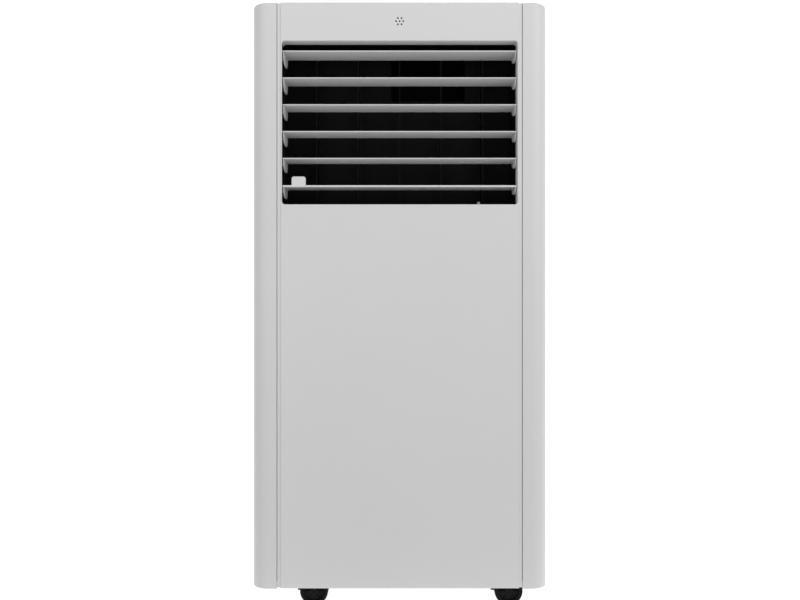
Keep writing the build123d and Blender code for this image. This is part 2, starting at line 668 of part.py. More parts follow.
def ear_face(drop, low_y, tail):
    """Crescent end plate under the blade, drawn about the pivot in (y, z)."""
    front = -PIVOT_BACK + 2.0
    rear = LOUVER_CHORD - PIVOT_BACK - 1.0
    base = PIVOT_DROP + 0.6
    low = PIVOT_DROP - drop
    bend = (front + (low_y - front) * 0.32, PIVOT_DROP - drop * 0.74)
    outline = [ThreePointArc((front, base), bend, (low_y, low)),
               ThreePointArc((low_y, low), tail, (rear, base)),
               Line((rear, base), (front, base))]
    return make_face(outline)


def side_plane(x, y, z):
    """Plane facing +X whose own axes are the model's Y and Z."""
    return Plane(origin=(x, y, z), x_dir=(0, 1, 0), z_dir=(1, 0, 0))


def louver(index):
    """Blade with end plates, pivot pins and, on the left, the link pin."""
    y, z = PIVOT_Y, pivot_z(index)
    lead = index == LOUVER_COUNT - 1
    front_t = LEAD_T if lead else LOUVER_T
    y0 = y - PIVOT_BACK
    y1 = y0 + LOUVER_CHORD
    top = z + PIVOT_DROP + LOUVER_T - (LEAD_LOWER if lead else 0)
    outline = [(y0, top - front_t), (y0, top), (y1, top - 0.5), (y1, top - LOUVER_T),
               (y0 + 4, top - LOUVER_T)]
    face = make_face(Polyline(*outline, close=True))
    blade = extrude(side_plane(-LOUVER_X, 0, 0) * face, 2 * LOUVER_X)
    near = blade.edges().filter_by(Axis.X).filter_by(lambda e: abs(e.center().Y - y0) < 0.01)
    blade = fillet(near, 0.5)
    left = extrude(side_plane(-LOUVER_X, y, z)
                   * ear_face(LEFT_EAR_DROP, LEFT_EAR_LOW, LEFT_EAR_TAIL), EAR_T)
    right = extrude(side_plane(LOUVER_X - EAR_T, y, z)
                    * ear_face(RIGHT_EAR_DROP, RIGHT_EAR_LOW, RIGHT_EAR_TAIL), EAR_T)
    pins = [rod_x(DUCT_LEFT - DUCT_WALL + 0.3, -LOUVER_X + 1, y, z, PIVOT_R),
            rod_x(LOUVER_X - 1, DUCT_RIGHT + DUCT_WALL - 0.3, y, z, PIVOT_R),
            rod_x(LINK_BAR_X - LINK_BAR_T - 0.2, -LOUVER_X + 1, y + LINK_BACK, z - LINK_DROP, LINK_R)]
    blade = blade + [left, right] + pins
    if lead:
        x0 = -LOUVER_X + TAB_FROM_END
        tab = block(x0, x0 + TAB_W, y0, y0 + TAB_T, top - 1, top + TAB_H)
        tab = fillet(tab.edges().filter_by(Axis.Y).group_by(Axis.Z)[-1], 2.5)
        blade += tab
    return one(blade)


def louver_link_bar():
    """Upright bar that ties the left ends of the louvers together."""
    y = PIVOT_Y + LINK_BACK
    z1 = pivot_z(0) - LINK_DROP
    z0 = pivot_z(LOUVER_COUNT - 1) - LINK_DROP
    x1 = LINK_BAR_X
    x0 = x1 - LINK_BAR_T
    bar = block(x0, x1, y - LINK_BAR_W / 2, y + LINK_BAR_W / 2, z0, z1)
    for i in range(LOUVER_COUNT):
        z = pivot_z(i) - LINK_DROP
        bar += rod_x(x0, x1, y, z, LINK_BAR_W / 2)
    for i in range(LOUVER_COUNT):
        slack = FIT if i == LOUVER_COUNT - 1 else LOOSE_FIT
        bar -= rod_x(x0 - 1, x1 + 1, y, pivot_z(i) - LINK_DROP, LINK_R + slack)
    return one(bar)


# ---------------------------------------------------------------------------
# Duct and vanes
# ---------------------------------------------------------------------------
def vane_places():
    middle = (VANE_COUNT - 1) / 2
    return [VANE_PITCH * (i - middle) for i in range(VANE_COUNT)]


def throat_x():
    """Left and right of the blower's outlet, inside."""
    x1 = EV_X + EV_SCROLL_R
    return x1 - THROAT_W, x1


def air_duct():
    """Black box behind the opening; carries the louvers and the vanes."""
    body = block(DUCT_LEFT - DUCT_WALL, DUCT_RIGHT + DUCT_WALL, DUCT_Y, DUCT_REAR,
                 DUCT_Z0 - DUCT_WALL, DUCT_Z1 + DUCT_WALL)
    body -= block(DUCT_LEFT, DUCT_RIGHT, DUCT_Y - 1, DUCT_REAR - DUCT_WALL, DUCT_Z0, DUCT_Z1)
    x0, x1 = throat_x()
    body -= block(x0, x1, DUCT_REAR - 5, DUCT_REAR + 1, DUCT_Z1 - MOUTH_H, DUCT_Z1)
    for i in range(LOUVER_COUNT):
        for a, b in ((DUCT_LEFT - DUCT_WALL - 1, DUCT_LEFT + 1), (DUCT_RIGHT - 1, DUCT_RIGHT + DUCT_WALL + 1)):
            body -= rod_x(a, b, PIVOT_Y, pivot_z(i), PIVOT_R + FIT)
    for x in vane_places():
        body -= rod_z(x, VANE_Y, DUCT_Z0 - DUCT_WALL - 1, DUCT_Z0 + 1, PIVOT_R + FIT)
        body -= rod_z(x, VANE_Y, DUCT_Z1 - 1, DUCT_Z1 + DUCT_WALL + 1, PIVOT_R + FIT)
    return one(body)


def vane(x):
    """Upright vane with pivot pins and a link pin under its front."""
    plate = block(x - VANE_T / 2, x + VANE_T / 2, VANE_Y - VANE_FRONT, VANE_Y + VANE_REAR, VANE_Z0, VANE_Z1)
    low = rod_z(x, VANE_Y, DUCT_Z0 - DUCT_WALL + 0.3, VANE_Z0 + 3, PIVOT_R)
    high = rod_z(x, VANE_Y, VANE_Z1 - 3, DUCT_Z1 + DUCT_WALL - 0.3, PIVOT_R)
    link = rod_z(x, VANE_Y - VANE_LINK, DUCT_Z0 + 1.0, VANE_Z0 + 3, VANE_PIN_R)
    return one(plate + low + high + link)


def vane_link_bar():
    """Flat bar that ties the vanes together."""
    y = VANE_Y - VANE_LINK
    xs = vane_places()
    z0 = DUCT_Z0 + VANE_BAR_LIFT
    z1 = z0 + VANE_BAR_T
    bar = block(xs[0] - 5, xs[-1] + 5, y - VANE_BAR_W / 2, y + VANE_BAR_W / 2, z0, z1)
    for i, x in enumerate(xs):
        slack = FIT if i == 0 else LOOSE_FIT
        bar -= rod_z(x, y, z0 - 1, z1 + 1, VANE_PIN_R + slack)
    return one(bar)


def vane_finger_tip():
    """Pale tip clipped to the front of the vane bar."""
    y1 = VANE_Y - VANE_LINK - VANE_BAR_W / 2
    z0 = DUCT_Z0 + VANE_BAR_LIFT
    tip = block(TIP_X - TIP_W / 2, TIP_X + TIP_W / 2, y1 - TIP_REACH, y1, z0, z0 + TIP_H)
    return fillet(tip.edges().filter_by(Axis.Y).group_by(Axis.Z)[-1], 1.2)


# ---------------------------------------------------------------------------
# Blowers
# ---------------------------------------------------------------------------
def blower_wheel(x, y0, y1, z, radius, shaft_to):
    """Forward-curved wheel: hub disc at y0, blades, open ring at y1."""
    disc = rod_y(x, y0, y0 + 2, z, radius)
    ring = rod_y(x, y1 - 2, y1, z, radius) - rod_y(x, y1 - 3, y1 + 1, z, radius - BLADE_DEPTH)
    hub = rod_y(x, y0, y0 + 18, z, HUB_R)
    shaft = rod_y(x, shaft_to, y0 + 12, z, SHAFT_R)
    blades = []
    for i in range(BLADES):
        leaf = Pos(radius - BLADE_DEPTH / 2 - 1, 0, 0) * Rot(0, 0, 28) * Box(BLADE_DEPTH, BLADE_T, y1 - y0 - 2)
        leaf = Rot(0, 0, i * 360 / BLADES) * leaf
        blades.append(Pos(x, (y0 + y1) / 2, z) * Rot(90, 0, 0) * leaf)
    return one(disc + ring + hub + shaft + blades)


def volute(x, z, radius, y0, y1, throat, z_out):
    """Solid outline of a blower housing: a drum with an upward throat on its right."""
    drum = rod_y(x, y0, y1, z, radius)
    neck = block(x + radius - throat, x + radius, y0, y1, z, z_out)
    return drum + neck


def scroll_feet(x, z, radius, y0, y1, floor):
    """Two feet under a blower housing."""
    return [block(x + dx - 4, x + dx + 4, y0 + 4, y1 - 4, floor, z - 0.85 * radius) for dx in (-40, 40)]


def evaporator_scroll():
    """Upper blower housing with an elbow that meets the duct's mouth."""
    w = SCROLL_WALL
    x0, x1 = throat_x()
    z_top = DUCT_Z1
    z_mouth = DUCT_Z1 - MOUTH_H
    outer = volute(EV_X, EV_Z, EV_SCROLL_R + w, EV_Y0 - w, EV_Y1 + w, THROAT_W + 2 * w, z_top + w)
    outer += block(x0 - w, x1 + w, DUCT_REAR, EV_Y1 + w, z_mouth - w, z_top + w)
    outer += scroll_feet(EV_X, EV_Z, EV_SCROLL_R, EV_Y0, EV_Y1, TRAY_Z)
    inner = volute(EV_X, EV_Z, EV_SCROLL_R, EV_Y0, EV_Y1, THROAT_W, z_top)
    inner += block(x0, x1, DUCT_REAR - 1, EV_Y1, z_mouth, z_top)
    outer -= inner
    outer -= rod_y(EV_X, EV_Y1 - 1, EV_Y1 + w + 1, EV_Z, EV_WHEEL_R - INLET_STEP)
    outer -= rod_y(EV_X, EV_Y0 - w - 1, EV_Y0 + 1, EV_Z, SHAFT_R + 2)
    return one(outer)


def condenser_scroll():
    """Lower blower housing with a plenum that feeds the exhaust collar."""
    w = SCROLL_WALL
    x0 = EXH_X - EXH_R - EXH_WALL - 2
    x1 = EXH_X + EXH_R + EXH_WALL + 2
    z_mid = PLENUM_LOW
    y_back = DEPTH / 2 - EXH_LENGTH - GUARD_SET
    outer = volute(CO_X, CO_Z, CO_SCROLL_R + w, CO_Y0 - w, CO_Y1 + w, THROAT_W + 2 * w, z_mid + w)
    outer += block(x0 - w, x1 + w, CO_Y0 - w, y_back, z_mid - w, PLENUM_TOP)
    outer += scroll_feet(CO_X, CO_Z, CO_SCROLL_R, CO_Y0, CO_Y1, PAN_FLOOR)
    inner = volute(CO_X, CO_Z, CO_SCROLL_R, CO_Y0, CO_Y1, THROAT_W, z_mid + 1)
    inner += block(x0, x1, CO_Y0, y_back - w, z_mid, PLENUM_TOP - w)
    outer -= inner
    outer -= rod_y(EXH_X, y_back - w - 1, y_back + 1, EXH_Z, EXH_R + GUARD_CLEAR)
    outer += guard_bars(y_back - w, y_back)
    outer -= rod_y(CO_X, CO_Y1 - 1, CO_Y1 + w + 1, CO_Z, CO_WHEEL_R - INLET_STEP)
    outer -= rod_y(CO_X, CO_Y0 - w - 1, CO_Y0 + 1, CO_Z, SHAFT_R + 2)
    return one(outer)


def fan_motor(x, y1, z, radius, length):
    """Motor can on the front of a blower housing, with a bore for the shaft."""
    can = rod_y(x, y1 - length, y1, z, radius)
    can = fillet(can.faces().sort_by(Axis.Y)[0].edges(), 4)
    can -= rod_y(x, y1 - length + 6, y1 + 1, z, SHAFT_R + FIT)
    return one(can)


# ---------------------------------------------------------------------------
# Refrigerant circuit
# ---------------------------------------------------------------------------
def finned_coil(y0, z0, height):
    """Fin stack between two end plates, with return bends at the right end."""
    core_y = y0 + (COIL_T - CORE_T) / 2
    core = block(-COIL_X, COIL_X, core_y, core_y + CORE_T, z0, z0 + height)
    plates = [block(-COIL_X, -COIL_X + 2, y0, y0 + COIL_T, z0, z0 + height),
              block(COIL_X - 2, COIL_X, y0, y0 + COIL_T, z0, z0 + height)]
    count = int(2 * COIL_X / FIN_PITCH)
    fins = []
    for i in range(1, count):
        x = -COIL_X + i * FIN_PITCH
        fins.append(block(x - FIN_T / 2, x + FIN_T / 2, y0, y0 + COIL_T, z0 + 1, z0 + height - 1))
    bends = []
    y_mid = y0 + COIL_T / 2
    for i in range(int(height / BEND_PITCH) - 1):
        z = z0 + BEND_PITCH * (i + 1)
        bend = Pos(COIL_X, y_mid, z) * Rot(90, 0, 0) * Torus(BEND_PITCH / 4, TUBE_R)
        bends.append(bend & block(COIL_X, COIL_X + 40, y0, y0 + COIL_T, z - 20, z + 20))
    return one(core + plates + fins + bends)


def drip_tray():
    """Tray under the evaporator; it also parts the upper and lower halves."""
    x = X_SIDE - WALL
    y0 = Y_FRONT + LIP_DEPTH + 12
    y1 = Y_REAR - FILTER_T - LEDGE
    tray = block(-x, x, y0, y1, TRAY_Z - TRAY_T, TRAY_Z)
    tray &= extrude(Pos(0, 0, TRAY_Z - TRAY_T) * cabinet_plan(WALL), TRAY_T)
    rim_x = COIL_X + 18
    coil_y0 = REAR_IN - EV_COIL_BACK - COIL_T
    rim = block(-rim_x, rim_x, coil_y0 - 8, coil_y0 + COIL_T + 6, TRAY_Z - 1, TRAY_Z + TRAY_RIM)
    rim -= block(-rim_x + 2, rim_x - 2, coil_y0 - 6, coil_y0 + COIL_T + 4, TRAY_Z, TRAY_Z + TRAY_RIM + 1)
    tray = tray + rim
    for x_pipe, y_pipe in riser_places():
        tray -= rod_z(x_pipe, y_pipe, TRAY_Z - TRAY_T - 1, TRAY_Z + 1, PIPE_R + 0.5)
    return one(tray)


def comp_axis():
    return -X_SIDE + COMP_X, Y_FRONT + COMP_Y


def foot_places():
    """Three feet round the compressor."""
    x, y = comp_axis()
    return [(x + FOOT_RING * cos(radians(a)), y + FOOT_RING * sin(radians(a))) for a in (50, 170, 290)]


def foot_level():
    return PAN_FLOOR + 6 + GROMMET_H


def compressor():
    """Sealed can with a foot plate and a terminal cover."""
    x, y = comp_axis()
    z0 = foot_level()
    can = rod_z(x, y, z0, z0 + COMP_H, COMP_R)
    can = fillet(can.faces().sort_by(Axis.Z)[-1].edges(), 14)
    plate = rod_z(x, y, z0, z0 + 3, COMP_R + 2)
    for fx, fy in foot_places():
        plate += rod_z(fx, fy, z0, z0 + 3, GROMMET_R)
    cap = rod_z(x, y, z0 + COMP_H - 2, z0 + COMP_H + 10, 16)
    return one(can + plate + cap)


def compressor_grommets():
    z0 = PAN_FLOOR + 6
    return Compound(children=[rod_z(x, y, z0, z0 + GROMMET_H, GROMMET_R) for x, y in foot_places()])


def acc_axis():
    x, y = comp_axis()
    return x + COMP_R + ACC_R + 3, y - 8


def accumulator():
    """Suction accumulator strapped to the compressor."""
    x, y = acc_axis()
    cx, cy = comp_axis()
    z0 = foot_level() + 24
    can = rod_z(x, y, z0, z0 + ACC_H, ACC_R)
    can = fillet(can.edges(), 7)
    strap = block(cx + 20, x, y - 3, y + 3, z0 + 40, z0 + 56) - rod_z(cx, cy, z0, z0 + 100, COMP_R)
    return one(can + strap)


def riser_places():
    """Where the two pipes rise through the tray."""
    x = X_SIDE - WALL - 16
    y = REAR_IN - EV_COIL_BACK - COIL_T / 2
    return [(-x, y - 12), (-x, y + 12)]


def pipe(points, bend):
    """Copper pipe along straight runs and round bends."""
    path = FilletPolyline(*points, radius=bend)
    start = Plane(origin=path @ 0, z_dir=path % 0)
    return one(sweep(start * Circle(PIPE_R), path=path))


def suction_pipe():
    """Evaporator's end plate down to the top of the accumulator."""
    ax, ay = acc_axis()
    top = foot_level() + 24 + ACC_H
    rx, ry = riser_places()[0]
    z_coil = TRAY_Z + 60
    level = top + 52
    return pipe([(ax, ay, top), (ax, ay, level), (rx, ay, level), (rx, ry, level), (rx, ry, z_coil),
                 (-COIL_X, ry, z_coil)], 9)


def liquid_pipe():
    """Condenser's end plate up to the evaporator's end plate."""
    rx, ry = riser_places()[1]
    z_low = PAN_TOP + 40
    z_high = TRAY_Z + 150
    cond_y = REAR_IN - CO_COIL_BACK - COIL_T / 2
    return pipe([(-COIL_X, cond_y, z_low), (rx, cond_y, z_low), (rx, cond_y, z_low + 90), (rx, ry, z_low + 130),
                 (rx, ry, z_high), (-COIL_X, ry, z_high)], 9)


def discharge_pipe():
    """Compressor's top to the condenser's end plate."""
    cx, cy = comp_axis()
    top = foot_level() + COMP_H
    cond_y = REAR_IN - CO_COIL_BACK - COIL_T / 2
    x = -COIL_X - 12
    z_end = PAN_TOP + CO_COIL_H - 20
    return pipe([(cx - 24, cy, top), (cx - 24, cy, top + 18), (x, cy, top + 18), (x, cond_y, top + 18),
                 (x, cond_y, z_end), (-COIL_X, cond_y, z_end)], 6)


# ---------------------------------------------------------------------------
# Electrical box
# ---------------------------------------------------------------------------
def ebox_corner():
    """Lowest corner of the box, which hangs on the right side shell."""
    return X_SIDE - WALL - EBOX_W, Y_FRONT + LIP_DEPTH + 14, TRAY_Z - TRAY_T - EBOX_H


def control_box():
    x, y, z = ebox_corner()
    w = EBOX_WALL
    box = block(x, x + EBOX_W, y, y + EBOX_D, z, z + EBOX_H)
    box -= block(x + w, x + EBOX_W - w, y - 1, y + EBOX_D - w, z + w, z + EBOX_H - w)
    return one(box)


def control_board():
    x, y, z = ebox_corner()
    w = EBOX_WALL
    board = block(x + w, x + w + 2, y + 4, y + EBOX_D - w, z + w, z + EBOX_H - w)
    relays = [block(x + w + 2, x + w + 18, y + 12 + 18 * i, y + 24 + 18 * i, z + 20, z + 44) for i in range(2)]
    return one(board + relays)


def run_capacitor():
    x, y, z = ebox_corner()
    return rod_z(x + EBOX_W - EBOX_WALL - CAP_R, y + EBOX_D / 2, z + EBOX_WALL, z + EBOX_WALL + CAP_H, CAP_R)


# ---------------------------------------------------------------------------
# Everything, node by node
# ---------------------------------------------------------------------------
os.makedirs("parts", exist_ok=True)
SKIN = cabinet_skin()
save("left_side_shell", side_shell(-1, SKIN))
save("right_side_shell", side_shell(1, SKIN))
save("front_panel", front_panel())
save("top_cover", top_cover())
save("rear_cover", rear_cover())
save("base_pan", base_pan())
save("rear_bushes", Compound(children=[drain_spigot(DRAIN_Z_UP), drain_spigot(DRAIN_Z_LOW), cord_gland()]))
save("cover_screws", cover_screws())
save("exhaust_collar", exhaust_collar())
save("filter_frame", filter_frame())
save("filter_mesh", filter_mesh())
save("drain_plug_upper", drain_plug(DRAIN_Z_UP))
save("drain_plug_lower", drain_plug(DRAIN_Z_LOW))
save("control_bezel", control_bezel())
save("display_window", display_window())
save("display_board", display_board())
for key_name, key_x in zip(("power", "mode", "fan", "down", "up"), key_places()):
    save(key_name + "_key", control_key(key_x))
for corner, (stem_x, stem_y) in zip(("front_left", "front_right", "rear_left", "rear_right"), stem_places()):
    save("caster_hood_" + corner, caster_hood(stem_x, stem_y))
    save("caster_wheels_" + corner, caster_wheels(stem_x, stem_y))
for number in range(LOUVER_COUNT):
    save("louver_" + str(number + 1), louver(number))
save("louver_link_bar", louver_link_bar())
save("air_duct", air_duct())
for number, vane_x in enumerate(vane_places()):
    save("vane_" + str(number + 1), vane(vane_x))
save("vane_link_bar", vane_link_bar())
save("vane_finger_tip", vane_finger_tip())
save("evaporator_scroll", evaporator_scroll())
save("evaporator_blower", blower_wheel(EV_X, EV_Y0 + 4, EV_Y1 - 3, EV_Z, EV_WHEEL_R, EV_Y0 - 20))
save("evaporator_motor", fan_motor(EV_X, EV_Y0 - SCROLL_WALL, EV_Z, EV_MOTOR_R, EV_MOTOR_L))
save("evaporator_coil", finned_coil(REAR_IN - EV_COIL_BACK - COIL_T, TRAY_Z, EV_COIL_H))
save("drip_tray", drip_tray())
save("condenser_scroll", condenser_scroll())
save("condenser_blower", blower_wheel(CO_X, CO_Y0 + 4, CO_Y1 - 3, CO_Z, CO_WHEEL_R, CO_Y0 - 20))
save("condenser_motor", fan_motor(CO_X, CO_Y0 - SCROLL_WALL, CO_Z, CO_MOTOR_R, CO_MOTOR_L))
save("condenser_coil", finned_coil(REAR_IN - CO_COIL_BACK - COIL_T, PAN_TOP, CO_COIL_H))
save("compressor", compressor())
save("compressor_grommets", compressor_grommets())
save("accumulator", accumulator())
save("refrigerant_pipes", Compound(children=[suction_pipe(), liquid_pipe(), discharge_pipe()]))
save("control_box", control_box())
save("control_board", control_board())
save("run_capacitor", run_capacitor())
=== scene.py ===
# %% [markdown]
# # A portable air conditioner in a white studio
# The unit stands on four casters. Its casing is pale moulded plastic, its louvers hang in a black duct,
# and behind the rear grille sit a nylon screen and two finned coils. The frame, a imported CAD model, fixes
# every size and place. This lesson adds light, finishes, and the fine pieces that a CAD model leaves
# plain.

from math import cos, pi, radians, sin, tau

import bpy
import numpy as np
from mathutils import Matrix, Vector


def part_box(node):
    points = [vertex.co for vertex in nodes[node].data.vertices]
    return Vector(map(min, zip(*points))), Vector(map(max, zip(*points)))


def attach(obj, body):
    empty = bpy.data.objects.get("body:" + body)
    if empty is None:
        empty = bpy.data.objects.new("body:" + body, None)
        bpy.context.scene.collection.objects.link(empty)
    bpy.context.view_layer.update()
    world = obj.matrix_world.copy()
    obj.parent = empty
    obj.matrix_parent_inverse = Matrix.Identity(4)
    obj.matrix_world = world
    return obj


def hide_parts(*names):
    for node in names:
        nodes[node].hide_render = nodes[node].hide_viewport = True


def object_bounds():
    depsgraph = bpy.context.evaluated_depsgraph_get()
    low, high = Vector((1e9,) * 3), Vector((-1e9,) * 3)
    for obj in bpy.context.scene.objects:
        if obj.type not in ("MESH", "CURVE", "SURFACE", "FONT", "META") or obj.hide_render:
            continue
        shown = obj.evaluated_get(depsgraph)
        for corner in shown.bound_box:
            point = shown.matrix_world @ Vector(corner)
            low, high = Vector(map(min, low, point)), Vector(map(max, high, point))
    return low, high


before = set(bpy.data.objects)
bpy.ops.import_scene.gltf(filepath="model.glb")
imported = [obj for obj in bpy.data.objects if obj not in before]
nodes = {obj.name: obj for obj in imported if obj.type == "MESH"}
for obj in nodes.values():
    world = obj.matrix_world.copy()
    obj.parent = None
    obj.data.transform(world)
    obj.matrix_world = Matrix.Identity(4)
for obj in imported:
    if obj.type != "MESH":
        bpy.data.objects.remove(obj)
cad_low, cad_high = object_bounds()
cad_low, cad_high = list(cad_low), list(cad_high)

# %% [markdown]
# ## Where things are
# Positions are read from the frame, never typed in. `corners` gives a node's box as two numpy arrays, and
# `middle` gives the box's centre. Everything is in metres.

# %% Places read from the frame
MM = 0.001


def corners(node):
    """Lowest and highest corner of a node, as arrays."""
    low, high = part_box(node)
    return np.array(low), np.array(high)


def middle(node):
    """Centre of a node's box: the mean of its two corners."""
    low, high = corners(node)
    return (low + high) / 2


front_y = corners("front_panel")[0][1]
print("front face at y =", round(front_y, 4))

# %% [markdown]
# ## The camera
# The eye is straight in front at the middle of the object's height, close enough that the underside of
# the upper louvers and the top of the lower ones can be told apart. The camera is 0.793 m from the front
# face with a 32.2 mm lens on a 36 mm sensor, level, with no shift.

# %% Camera
EYE_BACK = 0.793
EYE_HEIGHT = 0.3478
EYE_RIGHT = 0.0004
LENS = 32.22
SENSOR = 36.0
FARTHEST = 30.0

camera_data = bpy.data.cameras.new("studio_camera")
camera_data.lens = LENS
camera_data.sensor_width = SENSOR
camera_data.clip_end = FARTHEST
camera = bpy.data.objects.new("studio_camera", camera_data)
camera.location = (EYE_RIGHT, front_y - EYE_BACK, EYE_HEIGHT)
camera.rotation_euler = (pi / 2, 0, 0)
bpy.context.collection.objects.link(camera)
bpy.context.scene.camera = camera
bpy.context.scene.view_settings.view_transform = "Standard"

# %% [markdown]
# ## Shader maths that reads like maths
# A material is a small graph. Writing `a * 2 + b` is easier to follow than three Math nodes, so `Wire`
# wraps a value socket and turns each operator into the node that does it. `Finish` makes a material and
# has one method, `node`, for every other kind of node.

# %% Wires and finishes
class Wire:
    """A value socket that can be used in sums. Each operator adds one Math node."""

    def __init__(self, finish, socket):
        self.finish = finish
        self.socket = socket

    def join(self, operation, other, swap=False):
        """The Math node for one operator; swap puts the other value first."""
        pair = (other, self) if swap else (self, other)
        return self.finish.node("ShaderNodeMath", {"operation": operation}, {0: pair[0], 1: pair[1]})

    def __add__(self, other):
        return self.join("ADD", other)

    def __sub__(self, other):
        return self.join("SUBTRACT", other)

    def __rsub__(self, other):
        return self.join("SUBTRACT", other, swap=True)

    def __mul__(self, other):
        return self.join("MULTIPLY", other)

    __radd__ = __add__
    __rmul__ = __mul__


class Finish:
    """A material under construction."""

    def __init__(self, name):
        self.material = bpy.data.materials.new(name)
        self.material.use_nodes = True
        self.tree = self.material.node_tree
        self.tree.nodes.clear()
        self.out = self.tree.nodes.new("ShaderNodeOutputMaterial")

    def node(self, kind, settings=None, inputs=None, take=0):
        """One node: settings first, then values or links of its sockets. Returns the output asked for."""
        node = self.tree.nodes.new(kind)
        for key, value in (settings or {}).items():
            if key == "stops":
                self.set_stops(node, value)
            else:
                setattr(node, key, value)
        for key, value in (inputs or {}).items():
            if isinstance(value, Wire):
                self.tree.links.new(value.socket, node.inputs[key])
            else:
                node.inputs[key].default_value = value
        return Wire(self, node.outputs[take])

    @staticmethod
    def set_stops(node, stops):
        """Fills a colour ramp from (position, grey or colour) pairs."""
        elements = node.color_ramp.elements
        while len(elements) < len(stops):
            elements.new(0.5)
        for element, (place, colour) in zip(elements, stops):
            element.position = place
            grey = not isinstance(colour, tuple)
            element.color = (colour, colour, colour, 1.0) if grey else (*colour, 1.0)

    def place(self):
        """Object coordinates, in metres."""
        return self.node("ShaderNodeTexCoord", take="Object")

    def noise(self, scale, detail=2.0, vector=None, roughness=0.5):
        """Noise between 0 and 1 with features about 1 / scale metres across."""
        vector = vector or self.place()
        return self.node("ShaderNodeTexNoise", {}, {"Vector": vector, "Scale": scale, "Detail": detail,
                                                    "Roughness": roughness})

    def ramp(self, value, *stops):
        """Maps a value through a colour ramp."""
        return self.node("ShaderNodeValToRGB", {"stops": stops}, {0: value})

    def blend(self, share, first, second):
        """Colour mix: first where share is 0, second where it is 1."""
        wires = {0: share, 6: self.rgba(first), 7: self.rgba(second)}
        return self.node("ShaderNodeMix", {"data_type": "RGBA"}, wires, take=2)

    @staticmethod
    def rgba(colour):
        """A colour with its alpha, or a wire as it is."""
        return colour if isinstance(colour, Wire) else (*colour, 1.0)

    def bump(self, height, distance, strength=1.0, normal=None):
        """Surface relief from a height between 0 and 1, distance metres deep."""
        wires = {"Height": height, "Distance": distance, "Strength": strength}
        if normal:
            wires["Normal"] = normal
        return self.node("ShaderNodeBump", {}, wires)

    def surface(self, **inputs):
        """Closes the material with one Principled shader. Names use _ for a space."""
        wires = {key.replace("_", " "): value for key, value in inputs.items()}
        if "Base Color" in wires:
            wires["Base Color"] = self.rgba(wires["Base Color"])
        shader = self.node("ShaderNodeBsdfPrincipled", {}, wires)
        self.tree.links.new(shader.socket, self.out.inputs["Surface"])
        return self.material


def dress(names, material):
    """Puts a finish on CAD nodes by filling their material slots."""
    for name in names:
        slots = nodes[name].material_slots
        if not slots:
            nodes[name].data.materials.append(material)
        for slot in slots:
            slot.material = material


# %% [markdown]
# ## Pale moulded plastic
# The casing is textured ABS. The mould is spark-eroded, so the skin has a very fine, even grain that
# breaks up reflections, and broad faces are never perfectly flat: they carry slow waves of a few
# hundredths of a millimetre. Edges are polished by hands, so they are smoother, and they are also painted
# a little lighter: a painted highlight. A Bevel node finds the edges: where the rounded normal leaves the
# true one, the surface is close to an edge. Seams and recesses are painted darker, towards a dusty grey:
# painted shade, found by ambient occlusion.

# %% Casing plastic
EDGE_GAIN = 8.0


def edge_mask(finish, reach):
    """1 on sharp edges, 0 on flats: one minus the cosine between rounded and true normal, scaled up."""
    rounded = finish.node("ShaderNodeBevel", {"samples": 4}, {"Radius": reach})
    true = finish.node("ShaderNodeNewGeometry", take="Normal")
    cosine = finish.node("ShaderNodeVectorMath", {"operation": "DOT_PRODUCT"}, {0: rounded, 1: true},
                         take="Value")
    return finish.node("ShaderNodeClamp", {}, {0: (1.0 - cosine) * EDGE_GAIN})


def moulded(name, colour, dust_and_seam_shade, grain=0.00003, shine=0.46):
    """Grained plastic: slow tone drift, polished edges painted a little lighter as a painted highlight,
    painted shade in the seams.
    """
    f = Finish(name)
    drift = f.noise(5.0, 3.0)
    speck = f.noise(900.0, 2.0)
    smudge = f.noise(38.0, 4.0, roughness=0.62)
    edges = edge_mask(f, 0.0012)
    open_sky = f.node("ShaderNodeAmbientOcclusion", {"samples": 6}, {"Distance": 0.008}, take="AO")
    lighter = tuple(min(1.0, c * 1.035) for c in colour)
    darker = tuple(c * 0.965 for c in colour)
    tone = f.blend(drift, darker, lighter)
    tone = f.blend(f.ramp(speck, (0.62, 0.0), (0.78, 0.30)), tone, tuple(c * 0.86 for c in colour))
    # Painted highlight: edges are painted a little lighter; the lower roughness on them below is real polish.
    tone = f.blend(edges * 0.35, tone, lighter)
    # Painted shade: seams and recesses, found by ambient occlusion, are painted darker towards a dusty grey.
    tone = f.blend((1.0 - open_sky) * 0.55, tone, dust_and_seam_shade)
    rough = f.node("ShaderNodeClamp", {}, {0: shine + (smudge - 0.5) * 0.16 - edges * 0.10})
    skin = f.noise(2600.0, 3.0, roughness=0.6)
    wave = f.noise(9.0, 1.0)
    soft = f.node("ShaderNodeBevel", {"samples": 6}, {"Radius": 0.0006})
    normal = f.bump(wave, 0.00025, 0.35, soft)
    normal = f.bump(skin, grain, 0.6, normal)
    return f.surface(Base_Color=tone, Roughness=rough, Normal=normal, IOR=1.5)


def shade(colour, factor):
    """A colour times a factor."""
    return tuple(c * factor for c in colour)


CASING = (0.625, 0.625, 0.632)
